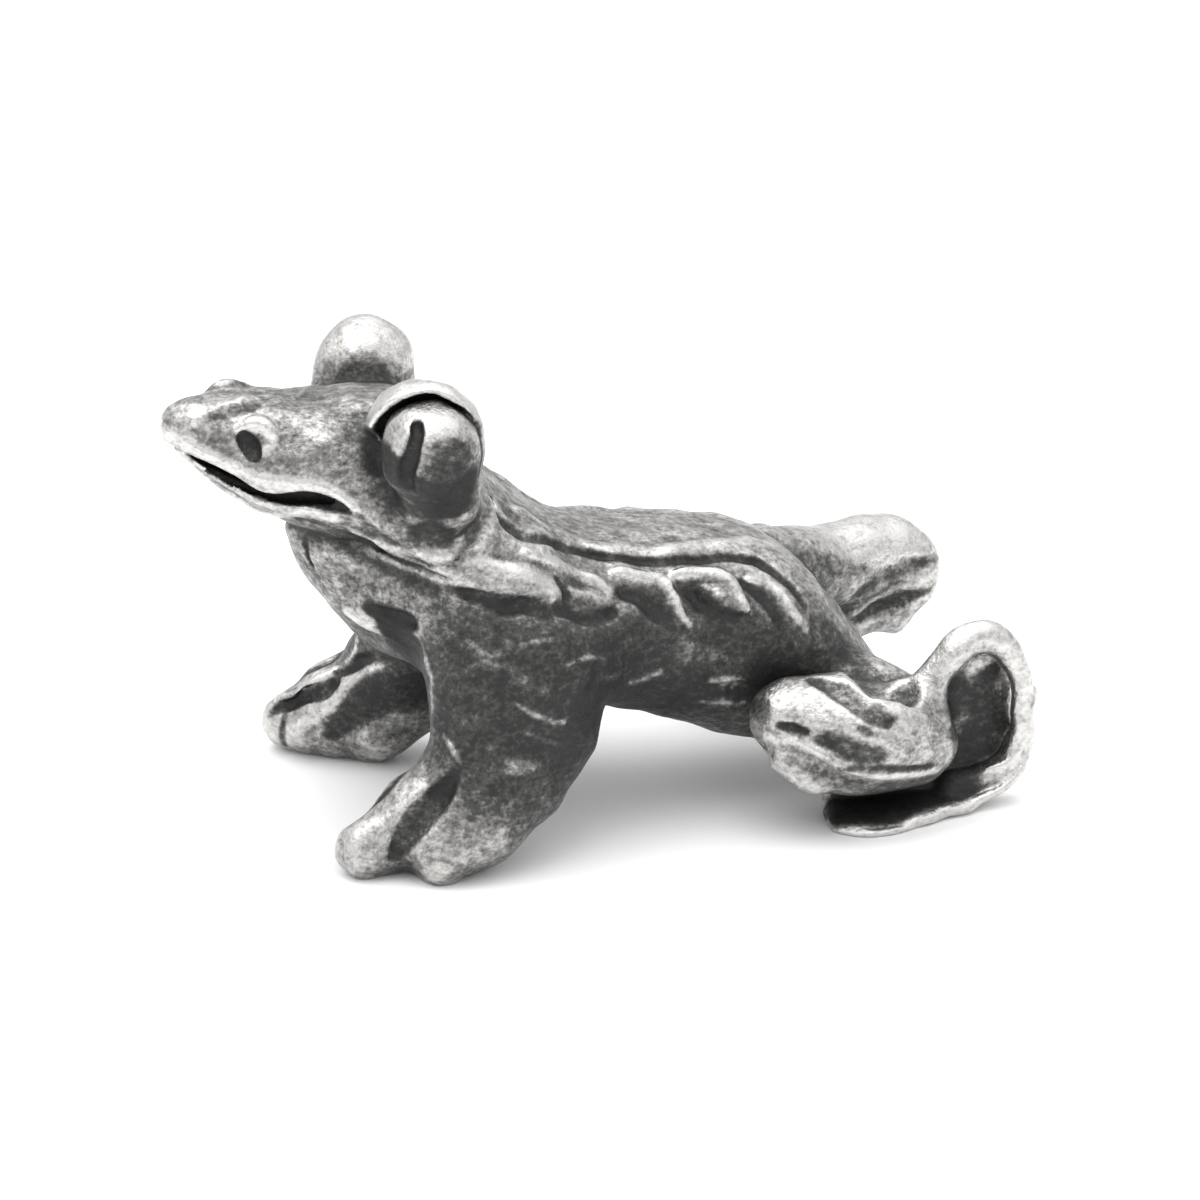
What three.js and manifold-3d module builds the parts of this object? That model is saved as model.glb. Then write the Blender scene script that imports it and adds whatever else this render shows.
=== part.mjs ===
// A small cast frog that crouches with its head raised.
// Millimetres, +Z up, nose toward -X, the frog's left side toward -Y, feet on the plane z = 0.
import * as THREE from 'three';
import { mergeVertices } from 'three/addons/utils/BufferGeometryUtils.js';
import Module from 'manifold-3d';

const wasm = await Module();
wasm.setup();

// Seam between two neighbouring castings
const SEAM_GAP = 0.3;

// Torso: overall sizes, and its sections as shares of them from chest to tail
const TORSO_LENGTH = 22.6;
const TORSO_WIDTH = 8.2;
const SHOULDER_HEIGHT = 13.7;
const BELLY_HEIGHT = 1.75;
const TORSO_SECTIONS = [
  { along: 0.0, top: 0.835, bottom: 0.777, width: 0.12 },
  { along: 0.02, top: 0.903, bottom: 0.719, width: 0.32 },
  { along: 0.06, top: 0.932, bottom: 0.592, width: 0.56 },
  { along: 0.11, top: 0.971, bottom: 0.476, width: 0.73 },
  { along: 0.17, top: 1.0, bottom: 0.388, width: 0.88 },
  { along: 0.26, top: 1.0, bottom: 0.31, width: 0.98 },
  { along: 0.33, top: 0.903, bottom: 0.268, width: 1.0 },
  { along: 0.39, top: 0.835, bottom: 0.228, width: 0.98 },
  { along: 0.46, top: 0.763, bottom: 0.195, width: 0.95 },
  { along: 0.61, top: 0.724, bottom: 0.103, width: 0.98 },
  { along: 0.7, top: 0.694, bottom: 0.041, width: 1.0 },
  { along: 0.77, top: 0.647, bottom: 0.007, width: 0.98 },
  { along: 0.84, top: 0.56, bottom: 0.0, width: 0.9 },
  { along: 0.91, top: 0.398, bottom: 0.0, width: 0.73 },
  { along: 0.965, top: 0.252, bottom: 0.038, width: 0.51 },
  { along: 1.0, top: 0.155, bottom: 0.096, width: 0.15 },
];

// Relief of each flank, from the chest to the tail: joints by their share along the torso
// and up its side, with their radius about the skin
const FLANK_LUMPS = [
  [
    { along: 0.385, high: 0.87, radius: 0.6 },
    { along: 0.445, high: 0.82, radius: 0.55 },
    { along: 0.49, high: 0.77, radius: 0.35 },
  ],
  [
    { along: 0.505, high: 0.86, radius: 0.22 },
    { along: 0.577, high: 0.83, radius: 0.34 },
    { along: 0.603, high: 0.73, radius: 0.28 },
    { along: 0.62, high: 0.67, radius: 0.15 },
  ],
  [
    { along: 0.605, high: 0.85, radius: 0.22 },
    { along: 0.682, high: 0.85, radius: 0.34 },
    { along: 0.71, high: 0.8, radius: 0.28 },
    { along: 0.721, high: 0.75, radius: 0.15 },
  ],
  [
    { along: 0.734, high: 0.88, radius: 0.15 },
    { along: 0.783, high: 0.85, radius: 0.3 },
    { along: 0.822, high: 0.75, radius: 0.18 },
  ],
];
// Hollows ahead of the last three lumps
const FLANK_SCOOPS = [
  [
    { along: 0.516, high: 0.79, radius: 0.25 },
    { along: 0.557, high: 0.76, radius: 0.35 },
    { along: 0.585, high: 0.67, radius: 0.25 },
  ],
  [
    { along: 0.625, high: 0.81, radius: 0.2 },
    { along: 0.655, high: 0.76, radius: 0.32 },
    { along: 0.69, high: 0.71, radius: 0.2 },
  ],
  [
    { along: 0.735, high: 0.83, radius: 0.15 },
    { along: 0.764, high: 0.79, radius: 0.28 },
    { along: 0.783, high: 0.72, radius: 0.18 },
  ],
];
// Groove along each edge of the back
const BACK_GROOVE = [
  { along: 0.4, high: 0.94, radius: 0.25 },
  { along: 0.47, high: 0.92, radius: 0.28 },
  { along: 0.56, high: 0.9, radius: 0.28 },
  { along: 0.65, high: 0.92, radius: 0.28 },
  { along: 0.75, high: 0.95, radius: 0.28 },
  { along: 0.81, high: 0.9, radius: 0.18 },
];

// Head: overall sizes, how it sits on the torso, and its sections from nose to nape
const HEAD_LENGTH = 11.7;
const HEAD_WIDTH = 9.0;
const HEAD_HEIGHT = 5.65;
const NAPE_SETBACK = 7.2;
const HEAD_DROP = 2.6;
const HEAD_SECTIONS = [
  { along: 0.0, crown: 0.9, lip: 0.78, width: 0.08 },
  { along: 0.03, crown: 0.965, lip: 0.75, width: 0.19 },
  { along: 0.1, crown: 1.0, lip: 0.67, width: 0.31 },
  { along: 0.22, crown: 1.0, lip: 0.58, width: 0.47 },
  { along: 0.34, crown: 0.98, lip: 0.55, width: 0.63 },
  { along: 0.46, crown: 0.955, lip: 0.49, width: 0.77 },
  { along: 0.53, crown: 0.95, lip: 0.39, width: 0.84 },
  { along: 0.61, crown: 0.945, lip: 0.26, width: 0.91 },
  { along: 0.75, crown: 0.9, lip: 0.08, width: 1.0 },
  { along: 0.88, crown: 0.71, lip: 0.0, width: 1.0 },
  { along: 1.0, crown: 0.32, lip: 0.0, width: 0.8 },
];

// Lower jaw: depth under the lip, and its sections along the head
const JAW_DEPTH = 2.4;
const JAW_SECTIONS = [
  { along: 0.03, depth: 0.1, width: 0.07 },
  { along: 0.07, depth: 0.18, width: 0.17 },
  { along: 0.18, depth: 0.47, width: 0.39 },
  { along: 0.32, depth: 0.78, width: 0.58 },
  { along: 0.44, depth: 1.0, width: 0.71 },
  { along: 0.56, depth: 0.75, width: 0.82 },
  { along: 0.7, depth: 0.5, width: 0.91 },
  { along: 0.8, depth: 0.3, width: 0.93 },
];

// Nostrils: pits by their share along the head, up it and out from its middle
const NOSTRIL = { along: 0.25, up: 0.77, out: 0.22, radius: 0.45 };

// Eyes: round hoods on the corners of the skull, open to the side, each with a ball in front of it
const HOOD_RADIUS = 2.05;
const HOOD_FORWARD_OF_NAPE = 2.95;
const HOOD_BELOW_CROWN = 0.87;
const HOOD_INSET = 0.3;
const HOOD_FOOT = { back: 0.55, in: 0.6, down: 2.6, radius: 1.5 };
const EYE_RADIUS = 1.6;
const EYE_DROP = 0.2;
const EYE_FOOT = { back: 0.4, in: 1.1, down: 2.1, radius: 1.3 };
// The right eye is smaller than the left one, and its ball stands further out
const LEFT_EYE = { share: 1, out: 0.65, opening: 0.4 };
const RIGHT_EYE = { share: 0.88, out: 1.1, opening: 0.9 };
// Way that the open face of a hood looks: back, out and up
const HOOD_FACE = { back: -0.28, out: 0.95, up: -0.13 };
// Slot of the pupil on the ball, as shares of its radius, from top to bottom
const PUPIL_RADIUS = 0.26;
const PUPIL = [
  { back: -0.52, out: 0.45, up: 0.75 },
  { back: -0.7, out: 0.72, up: 0.22 },
  { back: -0.76, out: 0.6, up: -0.5 },
];

// How far the round undersides are cut away where the feet stand
const SOLE_DEPTH = 0.25;

// Forelegs: joints by distance behind the chest, out from the torso's side and up from the ground
const ARM_BELOW_SHOULDER = 4.2;
const ARM_STRETCH = new THREE.Vector3(1.1, 0.87, 1);
const FORELEG = {
  shoulder: { back: 6.75, out: -0.5, up: SHOULDER_HEIGHT - ARM_BELOW_SHOULDER, radius: 2.45 },
  elbow: { back: 7.35, out: 0.4, up: 6.6, radius: 2.75 },
  wrist: { back: 6.5, out: 1.2, up: 3.7, radius: 2.35 },
};
// Skin that runs from the arm into the flank
const ARM_WEB = {
  arm: { back: 7.65, out: -0.2, up: 7.6, radius: 2.3 },
  middle: { back: 9.85, out: -0.95, up: 7.0, radius: 2.35 },
  flank: { back: 12.4, out: -1.75, up: 6.6, radius: 1.9 },
};
// Skin between the arm and the chest
const ARM_FRONT = {
  top: { back: 4.95, out: -0.6, up: 9.2, radius: 1.25 },
  middle: { back: 5.0, out: -0.1, up: 6.8, radius: 1.3 },
  low: { back: 5.2, out: -0.5, up: 5.5, radius: 1.1 },
};
// Flat rear edge of the arm, from the flank to the foot
const ARM_BACK = {
  top: { back: 8.45, out: -0.1, up: 6.2, radius: 1.75 },
  middle: { back: 8.75, out: 0.6, up: 4.4, radius: 1.55 },
  low: { back: 7.75, out: 1.3, up: 2.7, radius: 1.2 },
};
// Folds beside the neck and over the shoulder
const NECK_FOLD = {
  top: { back: 6.45, out: 0.1, up: 12.2, radius: 0.7 },
  middle: { back: 5.65, out: 0.25, up: 11.2, radius: 0.85 },
  low: { back: 4.75, out: -0.15, up: 10.2, radius: 0.8 },
};
const SHOULDER_FOLD = {
  front: { back: 5.2, out: 0.6, up: 10.8, radius: 0.45 },
  middle: { back: 6.7, out: 0.7, up: 10.45, radius: 0.8 },
  rear: { back: 8.4, out: 0.75, up: 9.8, radius: 0.5 },
};
const TOE_ROOT_RADIUS = 1.85;
// Toes by the reach of their knuckle and tip forward of the wrist and their spread out from it
const LEFT_TOES = [
  {
    knuckle: { reach: 2.85, spread: 0.0, up: 2.1, radius: 1.35 },
    tip: { reach: 4.95, spread: -0.1, radius: 1.05 },
  },
  {
    knuckle: { reach: 0.95, spread: 0.9, up: 1.8, radius: 1.6 },
    tip: { reach: 2.35, spread: 1.2, radius: 1.15 },
  },
];
const RIGHT_TOES = [
  {
    knuckle: { reach: 2.85, spread: 1.1, up: 2.1, radius: 1.35 },
    tip: { reach: 4.55, spread: 1.9, radius: 0.95 },
  },
  {
    knuckle: { reach: 2.25, spread: 0.7, up: 1.9, radius: 1.3 },
    tip: { reach: 3.8, spread: 1.15, radius: 0.95 },
  },
];

// Soles that thicken the feet behind the toes, from heel to toe
const LEFT_SOLE = {
  knuckle: { reach: 3.05, spread: 0.0, up: 0.9, radius: 0.95 },
  tip: { reach: 4.65, spread: -0.1, up: 0.8, radius: 0.85 },
};
const RIGHT_SOLE = {
  knuckle: { reach: 1.75, spread: 0.0, up: 1.45, radius: 1.55 },
  tip: { reach: 2.95, spread: 0.6, up: 0.9, radius: 1.0 },
};

// Hind legs: joints by distance behind the tail, out from the torso's side and up from the ground
// A joint with no height rests on its sole
const LEFT_HIP_RISE = 2.65;
const RIGHT_HIP_RISE = 4.95;
const LEFT_HIP = { back: -2.9, out: -1.9, up: BELLY_HEIGHT + LEFT_HIP_RISE, radius: 1.5 };
const LEFT_THIGH = {
  knee: { back: -5.1, out: 1.5, up: 4.3, radius: 1.5 },
  calf: { back: -2.75, out: 1.9, up: 3.65, radius: 2.2 },
  hock: { back: -0.55, out: 1.6, up: 3.05, radius: 1.6 },
};
// Low wall along the outer side of the left thigh
const LEFT_SILL = {
  front: { back: -5.7, out: 2.55, up: 3.1, radius: 0.6 },
  corner: { back: -5.0, out: 2.75, up: 2.6, radius: 0.65 },
  middle: { back: -3.6, out: 2.85, up: 2.4, radius: 0.65 },
  rear: { back: -1.3, out: 2.65, up: 2.4, radius: 0.6 },
  end: { back: -0.3, out: 2.1, up: 2.5, radius: 0.5 },
};
const LEFT_SHANK = {
  rise: { back: 0.05, out: 1.45, up: 4.9, radius: 0.65 },
  crest: { back: 1.6, out: 1.5, up: 6.6, radius: 0.65 },
  fall: { back: 2.85, out: 1.5, up: 6.3, radius: 0.6 },
  heel: { back: 3.7, out: 1.5, up: 4.3, radius: 0.55 },
};
const WEB_THICKNESS = 0.7;
const WEB_INSET = 0.5;
// Left foot: a narrow heel that rises behind, a flat pad ahead of it and a low wall inside the pad
const LEFT_HEEL = {
  arch: { back: 2.7, out: 1.35, up: 1.0, radius: 0.7 },
  root: { back: 1.2, out: 1.1, up: 0.6, radius: 0.8 },
};
const PAD_STRETCH = new THREE.Vector3(1, 1.35, 0.35);
const PAD_RISE = 0.25;
const LEFT_PAD = {
  rear: { back: 1.0, out: 1.05, up: PAD_RISE, radius: 1.1 },
  middle: { back: -0.6, out: 1.2, up: PAD_RISE, radius: 1.25 },
  front: { back: -2.6, out: 1.4, up: PAD_RISE, radius: 1.25 },
};
const WALL_STRETCH = new THREE.Vector3(1, 0.8, 1.2);
const LEFT_WALL = {
  rear: { back: 1.0, out: 0.3, up: 0.75, radius: 0.9 },
  front: { back: -2.55, out: 0.1, up: 0.5, radius: 0.9 },
};
const RIGHT_HIP = { back: -4.0, out: -1.5, up: BELLY_HEIGHT + RIGHT_HIP_RISE, radius: 1.85 };
const RIGHT_THIGH = {
  middle: { back: -0.75, out: 0.3, up: 5.95, radius: 1.68 },
  knee: { back: 1.75, out: 1.3, up: 5.9, radius: 1.6 },
  cap: { back: 2.7, out: 1.4, up: 5.5, radius: 1.4 },
};
const RIGHT_SHANK = {
  calf: { back: 2.15, out: 1.0, up: 3.75, radius: 0.95 },
  middle: { back: 0.4, out: 0.8, up: 3.75, radius: 0.9 },
  hock: { back: -1.0, out: 1.1, up: 2.2, radius: 0.9 },
};
const FOOT_STRETCH = new THREE.Vector3(1, 1.3, 0.7);
const RIGHT_FOOT = {
  heel: { back: -0.4, out: 1.4, up: 1.35, radius: 0.8 },
  ball: { back: -2.0, out: 1.8, up: 0.6, radius: 0.85 },
  toe: { back: -4.5, out: 2.3, up: 0.45, radius: 0.9 },
};

// Fineness and squareness of the surfaces
const RING_SIDES = 20;
const FINE = { sides: 12, steps: 4, caps: 4 };
const COARSE = { sides: 8, steps: 2, caps: 2 };
const BALL_DETAIL = 3;
const ROUND = new THREE.Vector3(1, 1, 1);
const SECTION_POWER = 2.2;
const TIP_REACH = 0.25;

const LEFT = -1;
const RIGHT = 1;
const UPPER_HALF = 0;
const LOWER_HALF = Math.PI;
const CHEST_X = 0;
const TAIL_X = CHEST_X + TORSO_LENGTH;
const NAPE_X = CHEST_X + NAPE_SETBACK;
const NOSE_X = NAPE_X - HEAD_LENGTH;
const LIP_BASE = SHOULDER_HEIGHT - HEAD_DROP;
const CROWN = LIP_BASE + HEAD_HEIGHT;
const FAR = 10 * TORSO_LENGTH;

// Closed skin over rings of equal length, with a point at each end
function skin(rings, start, end) {
  const count = rings[0].length;
  const points = [start, end, ...rings.flat()];
  const index = [];
  const at = (ring, side) => 2 + ring * count + (side % count);
  const last = rings.length - 1;
  for (let side = 0; side < count; side += 1) {
    index.push(0, at(0, side + 1), at(0, side));
    index.push(1, at(last, side), at(last, side + 1));
    for (let ring = 0; ring < last; ring += 1) {
      index.push(at(ring, side), at(ring, side + 1), at(ring + 1, side));
      index.push(at(ring, side + 1), at(ring + 1, side + 1), at(ring + 1, side));
    }
  }
  const geometry = new THREE.BufferGeometry().setFromPoints(points);
  geometry.setIndex(index);
  return geometry;
}

function toSolid(source) {
  const bare = source.clone();
  bare.deleteAttribute('normal');
  bare.deleteAttribute('uv');
  const geometry = mergeVertices(bare);
  const mesh = new wasm.Mesh({
    numProp: 3,
    vertProperties: new Float32Array(geometry.attributes.position.array),
    triVerts: new Uint32Array(geometry.index.array),
  });
  return new wasm.Manifold(mesh);
}

function toGeometry(solid) {
  const mesh = solid.getMesh();
  const geometry = new THREE.BufferGeometry();
  geometry.setAttribute('position', new THREE.BufferAttribute(mesh.vertProperties, 3));
  geometry.setIndex(new THREE.BufferAttribute(mesh.triVerts, 1));
  return geometry;
}

// Largest body of a cut, without its offcuts
function largest(solid) {
  const bodies = solid.decompose();
  return bodies.reduce((best, body) => (body.volume() > best.volume() ? body : best));
}

function cut(solid, tools) {
  return largest(tools.reduce((rest, tool) => rest.subtract(tool), solid));
}

function join(solids) {
  return solids.reduce((whole, solid) => whole.add(solid));
}

// Point on a flattened circle of the given reach sideways and up
function roundPoint(x, middle, wide, high, turn) {
  const soft = (value) => Math.sign(value) * Math.abs(value) ** (2 / SECTION_POWER);
  return new THREE.Vector3(x, wide * soft(Math.cos(turn)), middle + high * soft(Math.sin(turn)));
}

// Body with a blunt tip at both ends, made of upright sections: each has its place, half width and rim
function upright(sections, grow) {
  const rings = sections.map(({ x, half, rim }) => (
    rim(grow).map(({ turn, middle, high }) => roundPoint(x, middle, half + grow, high, turn))));
  const tip = (ring, way) => {
    const sum = ring.reduce((total, point) => total.add(point), new THREE.Vector3());
    return sum.divideScalar(ring.length).add(new THREE.Vector3(way * (TIP_REACH + grow), 0, 0));
  };
  return toSolid(skin(rings, tip(rings[0], -1), tip(rings[rings.length - 1], 1)));
}

function turns(from, to, count) {
  return Array.from({ length: count }, (_, step) => from + ((to - from) * step) / count);
}

// Full oval rim between a top and a bottom height
function ovalRim(top, bottom) {
  const middle = (top + bottom) / 2;
  return (grow) => turns(0, 2 * Math.PI, RING_SIDES)
    .map((turn) => ({ turn, middle, high: top - middle + grow }));
}

// Half oval above or below a flat edge
function halfRim(edge, reach, start) {
  const end = start + Math.PI;
  const outward = start === UPPER_HALF ? 1 : -1;
  return (grow) => {
    const middle = edge - outward * grow;
    const high = reach + 2 * grow;
    const rim = turns(start, end, RING_SIDES / 2).map((turn) => ({ turn, middle, high }));
    return [...rim, { turn: end, middle, high: 0 }];
  };
}

// Round limb through joints of given radius, with domed ends
// A stretch widens it along the axes
function limb(joints, grow, { sides, steps: stepsPerJoint, caps } = FINE, stretch = ROUND) {
  const curve = new THREE.CatmullRomCurve3(joints.map((joint) => joint.point.clone().divide(stretch)));
  const spans = joints.length - 1;
  const steps = spans * stepsPerJoint;
  const radiusAt = (share) => {
    const span = Math.min(Math.floor(share * spans), spans - 1);
    const part = share * spans - span;
    return THREE.MathUtils.lerp(joints[span].radius, joints[span + 1].radius, part) + grow;
  };
  const rings = [];
  const side = new THREE.Vector3();
  const ringAt = (centre, tangent, radius) => {
    side.addScaledVector(tangent, -side.dot(tangent)).normalize();
    const up = new THREE.Vector3().crossVectors(tangent, side);
    rings.push(turns(0, 2 * Math.PI, sides).map((turn) => centre.clone()
      .addScaledVector(side, radius * Math.cos(turn))
      .addScaledVector(up, radius * Math.sin(turn))));
  };
  const startTangent = curve.getTangent(0);
  const endTangent = curve.getTangent(1);
  side.set(startTangent.z, startTangent.x, startTangent.y).cross(startTangent);
  const capAngle = (step) => (step / caps) * (Math.PI / 2);
  for (let step = caps - 1; step > 0; step -= 1) {
    const centre = curve.getPoint(0).addScaledVector(startTangent, -radiusAt(0) * Math.sin(capAngle(step)));
    ringAt(centre, startTangent, radiusAt(0) * Math.cos(capAngle(step)));
  }
  for (let step = 0; step <= steps; step += 1) {
    ringAt(curve.getPoint(step / steps), curve.getTangent(step / steps), radiusAt(step / steps));
  }
  for (let step = 1; step < caps; step += 1) {
    const centre = curve.getPoint(1).addScaledVector(endTangent, radiusAt(1) * Math.sin(capAngle(step)));
    ringAt(centre, endTangent, radiusAt(1) * Math.cos(capAngle(step)));
  }
  const start = curve.getPoint(0).addScaledVector(startTangent, -radiusAt(0));
  const end = curve.getPoint(1).addScaledVector(endTangent, radiusAt(1));
  return toSolid(skin(rings, start, end).scale(stretch.x, stretch.y, stretch.z));
}

function ball(centre, radius) {
  const geometry = new THREE.IcosahedronGeometry(radius, BALL_DETAIL);
  geometry.translate(centre.x, centre.y, centre.z);
  return toSolid(geometry);
}

// Everything on the far side of a plane through a point
function beyond(point, normal) {
  const block = new THREE.BoxGeometry(FAR, FAR, FAR);
  block.translate(0, 0, FAR / 2);
  block.applyQuaternion(new THREE.Quaternion().setFromUnitVectors(new THREE.Vector3(0, 0, 1), normal));
  block.translate(point.x, point.y, point.z);
  return toSolid(block);
}

function ground() {
  const block = new THREE.BoxGeometry(FAR, FAR, FAR);
  block.translate(0, 0, -FAR / 2);
  return toSolid(block);
}

// Joint placed behind a station of the torso, out from the torso's side and above the ground
function place(stationX, side, { back, out, radius, up = radius - SOLE_DEPTH }) {
  return { point: new THREE.Vector3(stationX + back, side * (TORSO_WIDTH / 2 + out), up), radius };
}

const TORSO_RISE = SHOULDER_HEIGHT - BELLY_HEIGHT;

function trunk(grow) {
  return upright(TORSO_SECTIONS.map(({ along, top, bottom, width }) => ({
    x: CHEST_X + along * TORSO_LENGTH,
    half: (width * TORSO_WIDTH) / 2,
    rim: ovalRim(BELLY_HEIGHT + top * TORSO_RISE, BELLY_HEIGHT + bottom * TORSO_RISE),
  })), grow);
}

// Joint on the skin of the trunk, by its share along it and up its side
function onFlank(side, { along, high, radius }) {
  const after = TORSO_SECTIONS.findIndex((section) => section.along >= along);
  const far = TORSO_SECTIONS[Math.max(after, 1)];
  const near = TORSO_SECTIONS[Math.max(after, 1) - 1];
  const part = (along - near.along) / (far.along - near.along);
  const between = (key) => THREE.MathUtils.lerp(near[key], far[key], part);
  const above = Math.abs(2 * high - 1) ** SECTION_POWER;
  const out = ((between('width') * TORSO_WIDTH) / 2) * (1 - above) ** (1 / SECTION_POWER);
  const up = BELLY_HEIGHT + THREE.MathUtils.lerp(between('bottom'), between('top'), high) * TORSO_RISE;
  return { point: new THREE.Vector3(CHEST_X + along * TORSO_LENGTH, side * out, up), radius };
}

const flankRod = (side, joints, grow) => limb(joints.map((joint) => onFlank(side, joint)), grow, COARSE);

function torso(grow) {
  const lumps = [LEFT, RIGHT].flatMap((side) => FLANK_LUMPS
    .map((joints) => flankRod(side, joints, grow)));
  return join([trunk(grow), ...lumps]);
}

// Grooves and hollows of both flanks
function flankCuts() {
  return [LEFT, RIGHT].flatMap((side) => [...FLANK_SCOOPS, BACK_GROOVE]
    .map((joints) => flankRod(side, joints, 0)));
}

function head(grow) {
  return upright(HEAD_SECTIONS.map(({ along, crown, lip, width }) => ({
    x: NOSE_X + along * HEAD_LENGTH,
    half: (width * HEAD_WIDTH) / 2,
    rim: halfRim(LIP_BASE + lip * HEAD_HEIGHT, (crown - lip) * HEAD_HEIGHT, UPPER_HALF),
  })), grow);
}

function nostril(side) {
  const { along, up, out, radius } = NOSTRIL;
  const x = NOSE_X + along * HEAD_LENGTH;
  return ball(new THREE.Vector3(x, side * out * HEAD_WIDTH, LIP_BASE + up * HEAD_HEIGHT), radius);
}

// Height of the lip edge at a share of the head's length
function lipHeight(along) {
  const after = HEAD_SECTIONS.findIndex((section) => section.along >= along);
  const far = HEAD_SECTIONS[Math.max(after, 1)];
  const near = HEAD_SECTIONS[Math.max(after, 1) - 1];
  const part = (along - near.along) / (far.along - near.along);
  return LIP_BASE + THREE.MathUtils.lerp(near.lip, far.lip, part) * HEAD_HEIGHT;
}

function lowerJaw(grow) {
  return upright(JAW_SECTIONS.map(({ along, depth, width }) => ({
    x: NOSE_X + along * HEAD_LENGTH,
    half: (width * HEAD_WIDTH) / 2,
    rim: halfRim(lipHeight(along) - SEAM_GAP, depth * JAW_DEPTH, LOWER_HALF),
  })), grow);
}

function hoodCentre(side) {
  const lateral = HEAD_WIDTH / 2 - HOOD_INSET;
  return new THREE.Vector3(NAPE_X - HOOD_FORWARD_OF_NAPE, side * lateral, CROWN - HOOD_BELOW_CROWN);
}

function eyeCentre(side, { share, out }) {
  return hoodCentre(side).add(new THREE.Vector3(0, side * out * share, -EYE_DROP * share));
}

// Rod from a ball down into the skull
function stalk(centre, side, share, radius, foot, grow) {
  const way = new THREE.Vector3(foot.back, -side * foot.in, -foot.down);
  const end = centre.clone().addScaledVector(way, share);
  const joints = [{ point: centre, radius: radius * share }, { point: end, radius: foot.radius * share }];
  return limb(joints, grow, COARSE);
}

function eye(side, kind, grow) {
  const centre = eyeCentre(side, kind);
  const rod = stalk(centre, side, kind.share, EYE_RADIUS, EYE_FOOT, grow);
  return ball(centre, EYE_RADIUS * kind.share + grow).add(rod);
}

function pupil(side, kind) {
  const size = EYE_RADIUS * kind.share;
  const joints = PUPIL.map(({ back, out, up }) => ({
    point: eyeCentre(side, kind).addScaledVector(new THREE.Vector3(back, side * out, up), size),
    radius: PUPIL_RADIUS * kind.share,
  }));
  return limb(joints, 0, COARSE);
}

// Hood before the eye is taken out of it
function eyelid(side, { share, opening }, grow) {
  const centre = hoodCentre(side);
  const normal = new THREE.Vector3(HOOD_FACE.back, side * HOOD_FACE.out, HOOD_FACE.up).normalize();
  const face = centre.clone().addScaledVector(normal, opening * share + grow);
  const rod = stalk(centre, side, share, HOOD_FOOT.radius, HOOD_FOOT, grow);
  return ball(centre, HOOD_RADIUS * share + grow).subtract(beyond(face, normal)).add(rod);
}

function foreleg(side, toes, sole) {
  const arm = (joints) => Object.values(joints).map((joint) => place(CHEST_X, side, joint));
  const joints = arm(FORELEG);
  const wrist = joints[joints.length - 1].point;
  const ahead = ({ reach, spread, radius, up = radius - SOLE_DEPTH }) => (
    { point: new THREE.Vector3(wrist.x - reach, wrist.y + side * spread, up), radius });
  const root = { point: wrist, radius: TOE_ROOT_RADIUS };
  const digits = [...toes, sole].map(({ knuckle, tip }) => limb([root, ahead(knuckle), ahead(tip)], 0));
  const skins = [ARM_WEB, ARM_FRONT, ARM_BACK, NECK_FOLD, SHOULDER_FOLD]
    .map((part) => limb(arm(part), 0, COARSE));
  return join([limb(joints, 0, FINE, ARM_STRETCH), ...skins, ...digits]);
}

const hind = (side, joints) => Object.values(joints).map((joint) => place(TAIL_X, side, joint));

function leftThigh(grow) {
  const joints = hind(LEFT, LEFT_THIGH);
  const [hip] = hind(LEFT, { hip: LEFT_HIP });
  const sill = limb(hind(LEFT, LEFT_SILL), grow, COARSE);
  return join([limb(joints, grow), limb([hip, joints[joints.length - 1]], grow), sill]);
}

// Arched shank with the thin web that fills the arch
function leftShank(grow) {
  const hock = place(TAIL_X, LEFT, { ...LEFT_THIGH.hock, radius: LEFT_SHANK.rise.radius });
  const joints = [hock, ...hind(LEFT, LEFT_SHANK)];
  const arch = place(TAIL_X, LEFT, LEFT_HEEL.arch);
  const corners = [...joints, arch].map(({ point }) => new THREE.Vector2(point.x, point.z));
  const centre = new THREE.Vector2();
  corners.forEach((corner) => centre.addScaledVector(corner, 1 / corners.length));
  const outline = corners.map((corner) => corner.clone().sub(centre).setLength(2 * grow).add(corner));
  const web = new THREE.ExtrudeGeometry(new THREE.Shape(outline), {
    depth: WEB_THICKNESS + 2 * grow,
    bevelEnabled: false,
  });
  web.rotateX(Math.PI / 2);
  web.translate(0, hock.point.y + WEB_INSET + WEB_THICKNESS + grow, 0);
  return limb(joints, grow).add(toSolid(web));
}

function leftFoot() {
  const heel = limb([place(TAIL_X, LEFT, LEFT_SHANK.heel), ...hind(LEFT, LEFT_HEEL)], 0);
  const pad = limb(hind(LEFT, LEFT_PAD), 0, FINE, PAD_STRETCH);
  const wall = limb(hind(LEFT, LEFT_WALL), 0, FINE, WALL_STRETCH);
  return join([heel, pad, wall]);
}

function rightThigh(grow) {
  return limb(hind(RIGHT, { hip: RIGHT_HIP, ...RIGHT_THIGH }), grow);
}

function rightShank(grow) {
  return limb(hind(RIGHT, { cap: RIGHT_THIGH.cap, ...RIGHT_SHANK }), grow);
}

function rightFoot() {
  return limb(hind(RIGHT, RIGHT_FOOT), 0, FINE, FOOT_STRETCH);
}

const frog = new THREE.Group();

function addPiece(name, solid, colour, roughness) {
  const material = new THREE.MeshStandardMaterial({ color: colour, roughness, metalness: 1 });
  const mesh = new THREE.Mesh(toGeometry(solid), material);
  mesh.name = name;
  frog.add(mesh);
}

const PEWTER = 0x8e8c88;
const POLISHED = 0xb4b2ae;
const DARK = 0x5a5856;
const SATIN = 0.45;
const BRIGHT = 0.32;
const DULL = 0.6;

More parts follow.
